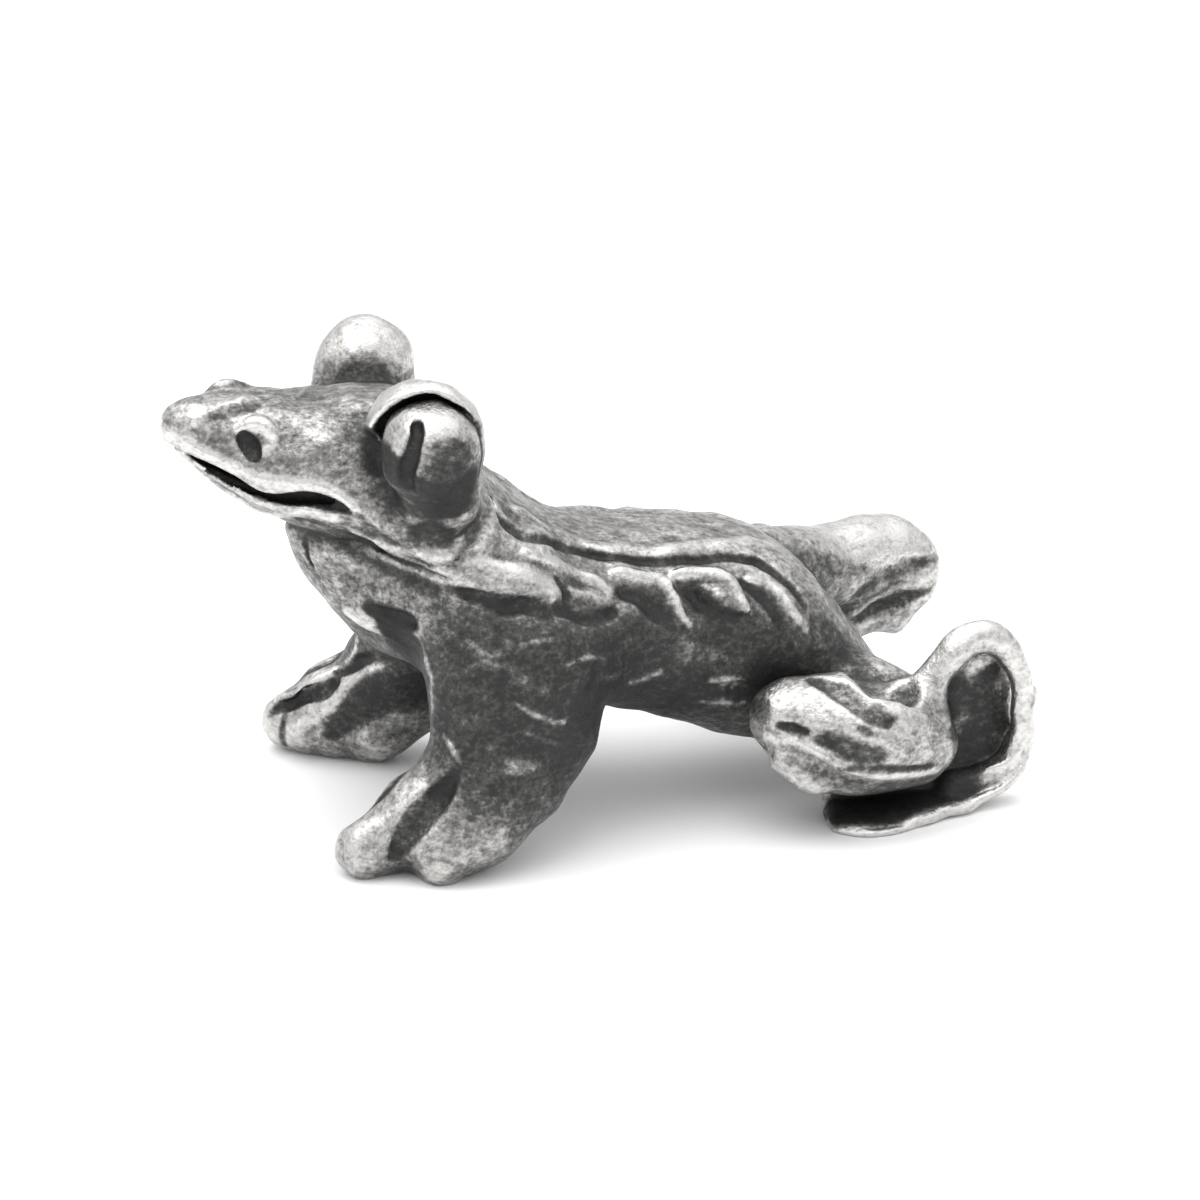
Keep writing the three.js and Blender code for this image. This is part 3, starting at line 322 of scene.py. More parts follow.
# Marks on the skin: name, side, + ridge or - groove or 0 finish only, blend, change of finish (painted shade in the
# marks named for shade) and how far it spreads past the mark, and the path as x, y outward, z and radius
MARKS = [
    ("Upper lip", BOTH, "+", .1, .65, .06,
     [(-15.28, .3, 15.66, .12), (-14.8, .86, 15.47, .15), (-14.15, 1.25, 15.16, .16), (-13.47, 1.55, 14.8, .16),
      (-12.72, 1.98, 14.49, .16), (-11.99, 2.42, 14.32, .16), (-11.13, 2.81, 14.22, .16), (-10.28, 3.18, 14.08, .16),
      (-9.6, 3.51, 13.76, .15), (-9.24, 3.67, 13.38, .12)]),
    ("Mouth", BOTH, "-", .04, -1, 0,
     [(-14.5, .75, 14.72, .07), (-13.75, 1.2, 14.3, .11), (-13.15, 1.6, 13.93, .16), (-12.65, 1.92, 13.7, .2),
      (-12, 2.28, 13.53, .22), (-11.35, 2.58, 13.48, .29), (-10.58, 2.92, 13.48, .36), (-10, 3.2, 13.4, .29),
      (-9.39, 3.45, 13.27, .1)]),
    ("Mouth, deeper in", BOTH, "-", .04, -1, .1,
     [(-13.75, .8, 14.3, .1), (-13.1, 1.15, 13.92, .15), (-12.55, 1.45, 13.7, .19), (-11.9, 1.8, 13.53, .22),
      (-11.25, 2.1, 13.48, .28), (-10.5, 2.4, 13.48, .34), (-9.9, 2.75, 13.4, .25)]),
    ("Lower lip", BOTH, "+", .12, .4, .1,
     [(-14.67, .29, 14.8, .1), (-13.98, .18, 14.06, .11), (-13.2, .06, 13.32, .12), (-12.49, .68, 12.92, .12),
      (-11.78, 1.22, 12.65, .12), (-11.19, 2.24, 12.89, .11), (-10.45, 2.73, 12.93, .11), (-9.8, 3.15, 12.86, .1)]),
    ("Line under the lip", BOTH, "-", .06, -.25, .04,
     [(-11.01, 2.19, 12.63, .05), (-10.19, 2.69, 12.46, .07), (-9.27, 3.01, 12.16, .06)]),
    ("Edge of the cheek", BOTH, "+", .1, .4, .06,
     [(-9.17, 3.26, 12.38, .1), (-8.52, 3.37, 12.03, .13), (-7.75, 3.71, 11.57, .14), (-7, 4.15, 11.19, .14),
      (-6.36, 4.87, 11.1, .14), (-5.82, 5.04, 11, .12)]),
    ("Crease under the cheek", BOTH, "-", .05, -.25, .04,
     [(-9.21, 3, 12.14, .05), (-8.24, 2.92, 11.48, .06), (-7.48, 3.64, 11.15, .06), (-6.76, 4.53, 11, .06),
      (-6.03, 5.04, 10.9, .05)]),
    ("Edge of the jaw", BOTH, "+", .1, .35, .06,
     [(-9, 2.38, 11.64, .1), (-8.31, 2.86, 11.24, .13), (-7.51, 3.5, 10.93, .13), (-6.83, 4.22, 10.78, .13),
      (-6.11, 4.98, 10.77, .1)]),
    ("Shade under the jaw", BOTH, "0", 0, -.2, 0,
     [(-10.84, 1.53, 12.11, .2), (-9.84, 2.1, 11.81, .25), (-8.92, 2.57, 11.29, .3), (-8.18, 3.06, 10.89, .3),
      (-7.39, 3.68, 10.59, .3), (-6.65, 4.48, 10.5, .3), (-6.04, 5.08, 10.51, .25)]),
    ("Far nostril", RIGHT, "+", .3, -.3, .1,
     [(-13.3, 1, 16.45, .25), (-12.75, 1.1, 16.62, .32), (-12.1, 1.3, 16.45, .25)]),
    ("Ear hollow", BOTH, "-", .25, -.8, .1,
     [(-7.46, 4.89, 12.5, .3), (-7.06, 5.64, 12.65, .55), (-6.34, 5.57, 12.52, .36)]),
    ("Rim under the ear", BOTH, "+", .3, .55, .12,
     [(-8.25, 3.52, 12, .14), (-7.59, 3.88, 11.76, .18), (-6.95, 4.48, 11.69, .2), (-6.33, 4.77, 11.73, .2),
      (-5.77, 4.77, 12.12, .16)]),
    ("Fold of the neck", BOTH, "+", .5, .5, .15,
     [(-4.19, 3.12, 12.72, .22), (-4.66, 4.18, 12.33, .3), (-5.01, 4.68, 11.74, .3), (-5.44, 4.93, 11.22, .26)]),
    ("Nostril rim", BOTH, "+", .08, 1, .05,
     [(-13.03, 1.52, 15.94, .1), (-12.53, 1.6, 16.14, .22), (-12.11, 1.74, 16.11, .26), (-11.85, 1.96, 15.88, .22),
      (-11.93, 2.06, 15.57, .14), (-12.12, 2.17, 15.27, .08)]),
    ("Nostril", BOTH, "-", .08, -.8, .02,
     [(-12.86, 1.76, 15.68, .28), (-12.69, 1.91, 15.48, .36), (-12.58, 2.08, 15.17, .28)]),
    # Painted shade on the tip of the snout
    ("Painted shade on the tip of the snout", BOTH, "0", 0, -.35, 0,
     [(-15.23, .25, 16.19, .4), (-14.74, .27, 16.62, .5), (-14.17, .21, 16.78, .45)]),
    ("Brow of the snout", BOTH, "+", .2, .12, .1,
     [(-14.42, .89, 16.2, .12), (-13.63, .7, 16.5, .15), (-12.83, .61, 16.62, .15), (-11.6, .23, 16.55, .15)]),
    ("Shade over the nostril", BOTH, "0", 0, -.4, 0,
     [(-13.77, .92, 16.45, .35), (-13.03, 1.01, 16.5, .4), (-12.29, 1.11, 16.56, .3)]),
    ("Patch of the far eye", RIGHT, "0", 0, -.4, 0,
     [(-7.85, 2.69, 16.01, .4), (-7.36, 2.69, 16.56, .5), (-6.92, 2.54, 16.27, .55), (-6.54, 2.16, 15.86, .45)]),
    ("Throat slit", LEFT, "-", .04, -.6, .04,
     [(-10.73, 1.52, 12.05, .06), (-10.47, 1.16, 11.25, .08), (-10.26, 1.03, 10.38, .06)]),
    ("Leaf hollow", BOTH, "-", .1, -.45, .03,
     [(-4.08, 3.01, 12.95, .1), (-3.93, 3.68, 12.59, .24), (-3.4, 4.03, 12.17, .42), (-2.52, 3.97, 11.75, .36),
      (-1.36, 2.61, 10.79, .26)]),
    ("Back edge", BOTH, "+", .4, .1, .1,
     [(-3.07, 2.25, 12.02, .25), (-1.93, 1.9, 11.04, .28), (-.84, 1.71, 10.37, .3), (.37, 1.95, 10.03, .3),
      (1.34, 1.96, 9.83, .3), (2.74, 2.1, 9.65, .3)]),
    ("Bright back edge", BOTH, "+", .4, .45, .1,
     [(2.57, 2.07, 9.68, .3), (3.89, 1.64, 9.58, .32), (5.56, 1.22, 9.39, .34), (6.87, .8, 9.02, .3)]),
    ("Back groove", BOTH, "-", .08, -.4, .03,
     [(-1.5, 2.77, 10.88, .22), (-.3, 2.39, 10.3, .22), (.63, 2.6, 10.06, .2), (1.65, 2.57, 9.8, .2),
      (2.63, 2.65, 9.69, .2), (3.73, 2.36, 9.58, .2), (4.78, 2.27, 9.53, .22), (6.17, 2.1, 9.22, .2)]),
    ("End of the back groove", LEFT, "-", .08, -.4, .03,
     [(6.17, 2.1, 9.22, .22), (6.75, 2.52, 8.82, .2), (7.18, 2.81, 8.36, .16), (7.71, 3.11, 7.62, .1)]),
    ("First lump, body", BOTH, "+", .25, .45, 0,
     [(-5.88, 4.94, 10.86, .3), (-5.17, 5.01, 10.61, .5), (-4.39, 5.09, 10.53, .55), (-3.6, 5.15, 10.32, .5),
      (-2.67, 5.22, 9.84, .36)]),
    ("First lump", BOTH, "+", .15, .7, .12,
     [(-5.1, 5.12, 11.37, .16), (-4.15, 5.16, 11, .26), (-3.22, 5.12, 10.59, .3), (-2.32, 5.01, 9.97, .22)]),
    ("Under the first lump", BOTH, "-", .2, -.3, .02,
     [(-5.74, 5.27, 10.37, .15), (-5.14, 5.66, 10.12, .3), (-4.37, 5.82, 9.89, .32), (-3.58, 5.85, 9.87, .32),
      (-2.79, 5.92, 9.53, .28), (-2.08, 5.49, 9.39, .18)]),
    ("Second lump", BOTH, "+", .12, .65, .05,
     [(-3.33, 4.77, 11.44, .14), (-2.37, 4.37, 10.85, .22), (-1.39, 3.7, 10.14, .26), (-.54, 3.64, 9.68, .26),
      (.02, 3.87, 9.25, .18)]),
    ("Second lump, face", BOTH, "+", .15, .3, 0,
     [(-1.71, 4.52, 9.63, .32), (-1.02, 4.25, 9.21, .38), (-.22, 4.08, 9.02, .28)]),
    ("Under the second lump", BOTH, "-", .12, -.3, .02,
     [(-1.98, 5.55, 9.3, .24), (-1.09, 5.3, 8.91, .32), (.04, 4.53, 8.78, .24)]),
    ("Notch between the lumps", BOTH, "-", .06, -.6, .05,
     [(-2.18, 4.86, 10.33, .08), (-1.86, 4.92, 9.84, .15), (-1.91, 5.25, 9.51, .12)]),
    ("Scoop of the third lump", BOTH, "-", .12, -.4, 0,
     [(.66, 3.84, 9.22, .3), (1.34, 4.01, 9.08, .5), (1.84, 4.25, 8.54, .52), (2.17, 4.41, 7.99, .36)]),
    ("Third lump", BOTH, "+", .1, .65, .05,
     [(.39, 3.18, 9.73, .16), (1.22, 3.14, 9.42, .28), (2.05, 3.11, 9.17, .28), (2.45, 3.42, 8.84, .26),
      (2.65, 3.78, 8.34, .2), (2.98, 4.04, 7.82, .12)]),
    ("Scoop of the fourth lump", BOTH, "-", .12, -.4, 0,
     [(2.87, 3.52, 9, .3), (3.52, 3.67, 8.75, .45), (4.01, 4.06, 8.15, .45), (4.89, 4.03, 7.77, .3)]),
    ("Fourth lump", BOTH, "+", .1, .65, .05,
     [(2.7, 3.03, 9.27, .16), (3.65, 2.84, 9.17, .28), (4.46, 3, 8.99, .28), (4.89, 3.2, 8.7, .26),
      (5.1, 3.52, 8.28, .22), (5.29, 3.72, 7.97, .14)]),
    ("Fourth lump, face", BOTH, "+", .2, .15, 0,
     [(3.84, 3.23, 8.59, .3), (4.4, 3.4, 8.34, .36), (4.97, 3.62, 8.06, .24)]),
    ("Scoop of the fifth lump", LEFT, "-", .12, -.4, 0,
     [(5.28, 3.16, 8.8, .18), (5.89, 3.36, 8.48, .32), (6.3, 3.7, 7.93, .34), (6.67, 3.87, 7.16, .24)]),
    ("Fifth lump", LEFT, "+", .08, .55, .06,
     [(5.66, 2.9, 8.82, .12), (6.29, 2.85, 8.53, .18), (6.74, 3.09, 8.15, .17), (7.08, 3.38, 7.64, .15),
      (7.58, 3.47, 6.87, .09)]),
    ("Belly fold", LEFT, "0", 0, -.4, .05,
     [(4.13, 3.91, 4.94, .14), (4.79, 3.94, 4.88, .2), (5.45, 3.85, 4.71, .14)]),
    ("Upper edge of the fold", LEFT, "+", .08, .45, .06,
     [(3.89, 4.01, 5.44, .09), (4.75, 4.03, 5.39, .12), (5.27, 3.97, 5.19, .1)]),
    ("Lower edge of the fold", LEFT, "+", .08, .35, .06,
     [(3.67, 3.62, 4.52, .08), (4.65, 3.71, 4.39, .1), (5.27, 3.69, 4.35, .08)]),
    ("Hatch", LEFT, "+", .04, .4, .03,
     [(4.33, 4.03, 5.22, .05), (4.39, 3.77, 4.51, .05)]),
    ("Hatch", LEFT, "+", .04, .4, .03,
     [(4.71, 4.02, 5.21, .05), (4.74, 3.77, 4.44, .05)]),
    ("Hatch", LEFT, "+", .04, .4, .03,
     [(5.14, 3.96, 5.02, .05), (5.16, 3.75, 4.41, .05)]),
    ("Ridge at the elbow", LEFT, "+", .12, .45, .06,
     [(.66, 4.46, 5.94, .12), (1.32, 4.23, 5.96, .2), (1.87, 4.28, 6.19, .12)]),
    ("Lighter flank", LEFT, "0", 0, .3, 0,
     [(2.71, 4.36, 6.86, .5), (3.68, 4.19, 6.37, .6), (4.83, 4.11, 5.9, .6)]),
    ("Scratch", LEFT, "+", .05, .35, .03,
     [(-4.34, 6.93, 6.57, .03), (-3.66, 7.06, 6.16, .06), (-2.86, 6.91, 5.62, .03)]),
    ("Scratch", LEFT, "+", .05, .35, .03,
     [(-3.65, 7.06, 6.01, .03), (-3.14, 6.97, 5.78, .06), (-2.56, 6.82, 5.64, .03)]),
    ("Scratch", LEFT, "+", .05, .3, .03,
     [(-4.02, 7.06, 5.52, .03), (-3.44, 6.99, 5.19, .06), (-2.86, 6.89, 4.95, .03)]),
    ("Scratch", LEFT, "+", .06, .3, .03,
     [(-6.67, 5.78, 5.27, .05), (-6.52, 6.3, 4.94, .08), (-6.32, 6.65, 4.54, .05)]),
    ("Scratch", LEFT, "+", .06, .25, .03,
     [(-4.9, 7.38, 4.09, .05), (-4.56, 7.42, 4.23, .08), (-4.22, 7.44, 4.09, .05)]),
    ("Scratch", LEFT, "+", .05, .3, .03,
     [(-5.72, 5.73, 8.71, .03), (-5.2, 6.16, 8.41, .06), (-4.66, 6.35, 8.32, .03)]),
    ("Scratch", LEFT, "+", .05, .3, .03,
     [(-2.36, 6.58, 7.74, .03), (-1.44, 6.17, 7.74, .05), (-.57, 5.59, 7.35, .03)]),
    ("Scratch", LEFT, "+", .05, .3, .03,
     [(-1.49, 6.34, 6.99, .03), (-.3, 5.35, 6.58, .06), (.35, 4.86, 6.68, .03)]),
    ("Bright dash on the arm", LEFT, "+", .06, .35, .04,
     [(-3.83, 7.03, 6.24, .04), (-3.28, 7.01, 5.96, .06), (-2.53, 6.82, 5.64, .04)]),
    ("Slanting edge of the arm", LEFT, "+", .3, .08, .1,
     [(-5.59, 5.79, 8.42, .15), (-5.12, 6.23, 7.97, .2), (-4.16, 6.62, 7.53, .22), (-3.32, 6.82, 6.99, .18)]),
    ("Knob on the shoulder", LEFT, "+", .1, .4, .03,
     [(-4.42, 6.2, 8.69, .11), (-4.29, 6.25, 8.67, .1)]),
    ("Line on the shoulder", LEFT, "+", .05, .25, .03,
     [(-3.88, 6.37, 8.63, .04), (-3.29, 6.39, 8.65, .05), (-2.79, 6.36, 8.6, .04)]),
    ("Mound on the arm", LEFT, "+", .4, .04, .1,
     [(-4.48, 7.24, 4.3, .2), (-4, 7.18, 4.31, .22)]),
    ("Cleft of the toes", LEFT, "-", .15, -.5, 0,
     [(-6.59, 6.77, 4.19, .26), (-7.16, 6.74, 3.46, .55), (-7.86, 6.89, 2.75, .7), (-8.47, 6.78, 1.85, .55),
      (-8.7, 6.4, .96, .22)]),
    ("Line of the inner toe", LEFT, "-", .06, -.7, .05,
     [(-7.68, 4.51, 3.56, .08), (-8.51, 5.14, 3.19, .14), (-9.29, 4.68, 2.27, .14), (-10, 4.75, 1.75, .08)]),
    ("Edge of the leg", LEFT, "0", 0, .45, 0,
     [(-7.29, 3.83, 8.7, .1), (-6.92, 4.26, 7.8, .14), (-6.87, 4.84, 7.09, .14), (-6.87, 4.93, 5.89, .12)]),
    ("Thin hollow of the far foot", RIGHT, "-", .06, -.7, .05,
     [(-9.17, 7.5, 2.36, .1), (-8.46, 6.47, 3.25, .15), (-7.27, 6.49, 3.86, .12)]),
    ("Hollow of the far foot", RIGHT, "-", .08, -.8, .05,
     [(-9.8, 6.77, 1.67, .2), (-9.22, 6.26, 2.19, .36), (-8.47, 5.43, 2.83, .36), (-7.86, 5.28, 3.25, .22)]),
    ("Upper hollow of the far foot", RIGHT, "-", .08, -.8, .05,
     [(-7.62, 5.41, 3.59, .2), (-7.21, 4.81, 4.01, .28), (-6.75, 4.05, 4.47, .2)]),
    ("Toe ridge of the far foot", RIGHT, "+", .1, .45, .06,
     [(-9.46, 6.9, 2.04, .12), (-8.65, 5.99, 2.83, .14), (-7.71, 5.65, 3.49, .13), (-7.15, 5.22, 4.03, .11),
      (-6.95, 4.96, 4.85, .1)]),
    ("Inner ridge of the far foot", RIGHT, "+", .12, .55, .08,
     [(-9.07, 5.8, 1.17, .22), (-8.56, 5.52, 1.8, .22), (-8.06, 5.11, 2.42, .2), (-7.49, 4.92, 3.09, .17),
      (-6.96, 4.57, 3.63, .15), (-6.43, 3.82, 4.13, .12)]),
    ("Toe gap of the far foot", RIGHT, "-", .05, -.6, .05,
     [(-9.46, 6.26, 1.55, .1), (-9.54, 6.14, 1.06, .13), (-9.47, 6.33, .43, .1)]),
    ("Shade of the far foot", RIGHT, "0", 0, -.55, 0,
     [(-8.05, 4.94, 1.36, .4), (-7.35, 4.43, 2.34, .8), (-6.31, 3.71, 3.13, 1), (-5, 3.23, 3.38, 1)]),
    ("Shade under the chest", LEFT, "0", 0, -.9, 0,
     [(-8.01, 3, 8.73, .3), (-7.66, 2.97, 8.11, .45), (-7.31, 2.96, 7.55, .45)]),
    ("Shade of the far arm", RIGHT, "0", 0, -1.2, 0,
     [(-7.87, -3.03, 8.57, .6), (-7.34, -3.25, 7.97, 1), (-6.81, -3.45, 6.76, 1.1)]),
    ("Flap of the chest", RIGHT, "+", .15, .45, .1,
     [(-9.02, -1.81, 8.76, .2), (-8.46, -2.38, 8.55, .26), (-7.63, -2.84, 8.07, .2)]),
    # A groove, darkened with painted shade
    ("Gap beside the chest with painted shade", RIGHT, "-", .1, -.9, .1,
     [(-8.52, -2.81, 9.13, .2), (-7.96, -3.24, 8.97, .3), (-7.35, -3.89, 8.86, .25)]),
    ("Dip behind the knee", LEFT, "-", .3, -.2, .1,
     [(8.7, 5.5, 6.9, .7), (9.5, 6.1, 5.85, .95), (10.3, 6.3, 5.35, .8)]),
    ("Inner side of the dip", LEFT, "-", .4, -.2, .1,
     [(9.7, 6, 5.75, .85), (9.6, 4.9, 5.9, .95), (9.5, 4, 6.2, .9)]),
    ("Rim of the knee", LEFT, "+", .1, .5, .06,
     [(8.2, 5.6, 5.8, .1), (8.7, 6.5, 5.4, .14), (9.25, 6.6, 4.9, .14), (9.76, 6.6, 4.42, .13),
      (10.1, 6.7, 4.15, .1)]),
    ("Dark band of the knee", LEFT, "-", .15, -.75, .08,
     [(7.01, 5.84, 5.88, .15), (7.69, 6.66, 5.89, .4), (8.54, 7.49, 5.51, .52), (9.07, 7.9, 5.04, .45),
      (9.42, 7.89, 4.71, .25)]),
    ("Pit of the knee", LEFT, "-", .06, -.8, .06,
     [(5.59, 6.81, 4.51, .08), (5.99, 7.02, 4.45, .15), (6.38, 7.25, 4.42, .08)]),
    ("Hollow of the knee", LEFT, "-", .2, -.85, .1,
     [(6.87, 7.99, 4.13, .5), (7.42, 8.61, 3.85, .95), (8.75, 8.71, 3.42, .7)]),
    ("Line of the knee", LEFT, "-", .04, -.7, .05,
     [(7.56, 7.89, 3.2, .05), (8.58, 8.15, 2.99, .08), (9.73, 8.02, 2.87, .08), (11.16, 7.36, 2.59, .05)]),
    ("Lip of the knee", LEFT, "+", .12, .5, .06,
     [(5.17, 6.3, 4.01, .12), (6.27, 7.12, 3.9, .16), (7.17, 7.68, 3.49, .17), (8.1, 7.94, 3.01, .17),
      (9.17, 7.96, 2.71, .17), (10.4, 7.54, 2.47, .17), (11.47, 7.04, 2.3, .12)]),
    ("Lower band of the knee", LEFT, "0", 0, -.2, 0,
     [(5.42, 6.87, 3.35, .3), (6.19, 7.32, 2.97, .35), (7.21, 7.59, 2.58, .35), (8.51, 7.82, 2.33, .35),
      (10.06, 7.62, 2.21, .35), (11.35, 7.08, 2.18, .25)]),
    ("Spot of the knee", LEFT, "0", 0, -.7, 0,
     [(8.29, 7.85, 4.63, .15), (8.61, 8, 4.46, .18)]),
    ("Strap", LEFT, "0", 0, -.3, 0,
     [(8.53, 3.11, 6.56, .6), (9.6, 3.31, 5.38, .7), (9.57, 6.71, 5.55, .6), (10, 7.11, 5.18, .4)]),
    ("First stripe of the far leg", RIGHT, "-", .25, -.5, .03,
     [(11.86, 3.19, 5, .24), (12.82, 3.27, 5.46, .38), (14.2, 3.74, 5.94, .36), (15.51, 4.52, 5.84, .2)]),
    ("Second stripe of the far leg", RIGHT, "-", .2, -.55, .03,
     [(12.01, 3.83, 3.92, .16), (12.69, 3.88, 4.18, .28), (13.43, 3.95, 4.32, .32), (14.37, 3.94, 4.48, .3),
      (15.1, 4.14, 4.6, .18)]),
    ("Ridge of the far leg", RIGHT, "+", .1, .35, .08,
     [(11.99, 3.91, 4.31, .08), (12.78, 4.05, 4.67, .1), (13.79, 4.16, 5, .1), (14.93, 4.2, 5.26, .08)]),
    ("Shade of the far thigh", RIGHT, "0", 0, -.2, 0,
     [(9.18, 1.78, 7.54, .3), (10.19, 2.25, 7.03, .45), (11.23, 2.81, 6.57, .4), (12.06, 3.31, 6.25, .2)]),
    # Painted shade on the outer side of the heel
    ("Painted shade on the outer side of the heel", LEFT, "0", 0, -.5, 0,
     [(15.63, 5.72, 4.11, .22), (15.89, 5.61, 2.91, .25), (15.65, 5.61, 2.29, .22)]),
    # Painted shade inside the arch
    ("Painted shade inside the arch", LEFT, "0", 0, -.9, 0,
     [(14.24, 5.03, 5.04, .35), (13.86, 5.08, 4.35, .75), (13.99, 5.05, 3.08, .9), (13.35, 5.08, 1.93, .9),
      (12.93, 5.81, 1.02, .8)]),
    # Painted shade on the wall of the arch
    ("Painted shade on the wall of the arch", LEFT, "0", 0, -.6, 0,
     [(12.96, 5.1, 4.84, .4), (12.76, 5.18, 3.94, .5), (12.23, 6.74, 3.46, .5)]),
    ("Step in the arch", LEFT, "+", .1, .5, .06,
     [(13.84, 5.74, 1.4, .08), (14.51, 5.83, 1.72, .12), (15.1, 5.9, 2.23, .12)]),
    ("Rim of the left hind foot", LEFT, "+", .06, .9, .02,
     [(7.75, 5.9, .12, .1), (8, 6.62, .1, .12), (8.7, 7.12, .1, .13), (9.6, 7.2, .1, .13), (11.1, 6.75, .12, .14),
      (12.2, 6.35, .2, .15), (13.2, 6.1, .4, .16), (14.3, 6, .75, .17), (15.2, 5.85, 1.5, .17),
      (15.6, 5.65, 2.7, .16), (15.62, 5.4, 4, .13)]),
    # Painted shade under the left hind foot
    ("Painted shade under the left hind foot", LEFT, "0", 0, -1.3, 0,
     [(8.3, 5.5, .4, 1.2), (9.4, 5.6, .4, 1.5), (10.8, 5.4, .4, 1.3), (12.2, 5.2, .5, 1), (13.3, 5.1, .8, .8)]),
    # Painted shade on the outer part of the pad
    ("Painted shade on the outer part of the pad", LEFT, "0", 0, -1.3, 0,
     [(8.1, 6.2, .3, .55), (8.9, 6.55, .3, .6), (9.8, 6.6, .3, .6), (11, 6.2, .3, .6), (12.2, 5.8, .4, .5),
      (13.2, 5.55, .6, .4)]),
]


# Marks on the ball and hood of the eye, as above but with the path from the middle of the eye
EYE_MARKS = [
    ("Pupil", "-", .12, -.75,
     [(-.74, 1.5, 1.1, .24), (-.84, 1.74, .9, .24), (-.98, 1.88, .58, .24), (-1.12, 1.94, .17, .27),
      (-1.24, 1.85, -.3, .32), (-1.26, 1.76, -.77, .32), (-1.1, 1.7, -1.19, .24)]),
    # Painted shade in front of the eye
    ("Painted shade in front of the eye", "0", 0, -1.0,
     [(-1.64, -1.2, -.45, .35), (-1.6, -.8, -1.05, .4), (-1.6, .6, -.1, .45), (-1.6, 1.3, -.2, .5),
      (-1.6, 1.2, -.6, .6), (-1.35, 1.6, -.8, .6)]),
    # Painted shade at the foot of the eye
    ("Painted shade at the foot of the eye", "0", 0, -.75,
     [(-.9, 1.95, -1.0, .5), (-.13, 2.2, -1.25, .5), (.65, 2.07, -1.25, .5), (1.13, 1.94, -.95, .4),
      (.5, 1.7, -2.0, .5), (-.5, 1.6, -2.0, .5)]),
    # Painted shade below the eye
    ("Painted shade below the eye", "0", 0, -.35,
     [(-1.15, .0, -1.95, .3), (-.89, .76, -2.22, .3), (-.5, 1.18, -2.33, .3), (0, 1.48, -2.32, .3),
      (.57, 1.56, -2.23, .3), (1.2, 1.41, -2.06, .25)]),
    ("Face of the eye", "0", 0, -.4,
     [(-.1, 2.25, .4, .4), (.6, 2.1, .35, .4), (.5, 2.3, -.3, .5), (-.2, 2.35, -.3, .5), (.9, 2.2, -.6, .4)]),
    ("Rear of the hood", "-", .04, -.7,
     [(.85, .5, 1.42, .08), (1.05, .85, 1.3, .08), (1.25, .93, 1.12, .07), (1.44, .98, .91, .06),
      (1.57, 1.04, .58, .06), (1.61, 1.41, .07, .06), (1.59, 1.49, -.42, .06), (1.52, 1.44, -.95, .05)]),
]
EYE_SPREAD = .05


def eye_marks():
    """The marks of both eyes in the form of MARKS."""
    out = []
    for side, ((x, y, z), r) in EYES.items():
        s = r / EYE
        for name, kind, blend, paint, path in EYE_MARKS:
            path = [(x + a * s, y + b * s, z + c * s, w * s) for a, b, c, w in path]
            out.append((name, side, kind, blend, paint, EYE_SPREAD, path))
    return out


def surface_marks(g, d):
    """Lips, nostrils, ridges, grooves and lumps on the blended skin."""
    for name, side, kind, blend, paint, spread, path in MARKS + eye_marks():
        if kind != "0":
            path = np.array(path)
            limb(g, d, path[:, :3], path[:, 3], blend, side, carve=kind == "-")


def outward(points, side):
    """Points of one side, or of both, with y measured outward from the midplane."""
    if side == BOTH:
        return np.column_stack([points[:, 0], np.abs(points[:, 1]), points[:, 2]])
    return points * (1, side, 1)


def ease(u):
    """Smooth step from 0 to 1."""
    return u * u * (3 - 2 * u)


# Softness at the rim of a mark's finish, room around it and its least radius, and the part of the radius over
# which it fades
RIM, RIM_ROOM, RIM_LEAST = .1, .15, .05
FADE = {"0": .6, "+": .45, "-": .45}


def strokes(points):
    """Change of finish that the marks bring to each point; the marks named for shade paint shade."""
    out = np.zeros(len(points), np.float32)
    for name, side, kind, blend, paint, spread, path in MARKS + eye_marks():
        p, r = flow(np.array(path)[:, :3], np.array(path)[:, 3], STROKE_GAP)
        away = outward(points, side)
        reach = r.max() + spread + RIM_ROOM
        near = np.flatnonzero(np.all((away > p.min(0) - reach) & (away < p.max(0) + reach), 1))
        q, best = away[near], np.zeros(len(near))
        for a, b, ra, rb in zip(p[:-1], p[1:], r[:-1], r[1:]):
            way = b - a
            t = np.clip((q - a) @ way / max(way @ way, TINY), 0, 1)
            gap = np.linalg.norm(q - a - t[:, None] * way, axis=1)
            size = np.maximum(ra + (rb - ra) * t + spread, RIM_LEAST)
            u = np.clip((size + RIM - gap) / (RIM + FADE[kind] * size), 0, 1)
            best = np.maximum(best, ease(u))
        out[near] += paint * best
    return out


def wobble(g, cell, seed):
    """Smooth random field with lumps of about one cell, mostly within -1..1."""
    rng = np.random.default_rng(seed)
    size = tuple(int(n) for n in np.ceil((HIGH - LOW) / cell) + 4)
    lattice = rng.standard_normal(size).astype(np.float32)
    for axis in range(3):
        at = (g.axes[axis] - LOW[axis]) / cell
        i = np.floor(at).astype(int)
        t = (at - i).astype(np.float32)
        w = [(1 - t)**3 / 6, (3 * t**3 - 6 * t**2 + 4) / 6, (-3 * t**3 + 3 * t**2 + 3 * t + 1) / 6, t**3 / 6]
        shape = [1, 1, 1]
        shape[axis] = -1
        lattice = sum(np.take(lattice, i + k, axis) * w[k].reshape(shape) for k in range(4))
    return lattice / 0.55


# Unevenness of the casting: how far edges wander, over what depth, and height, cell and seed of each layer of bumps
RAGGED, RAGGED_CELL, RAGGED_SEEDS = 0.05, 0.6, (5, 6, 7)
SKIN_DEPTH = 0.5
BUMPS = ((0.05, 1.1, 3), (0.02, 0.45, 4), (0.007, 0.25, 8))


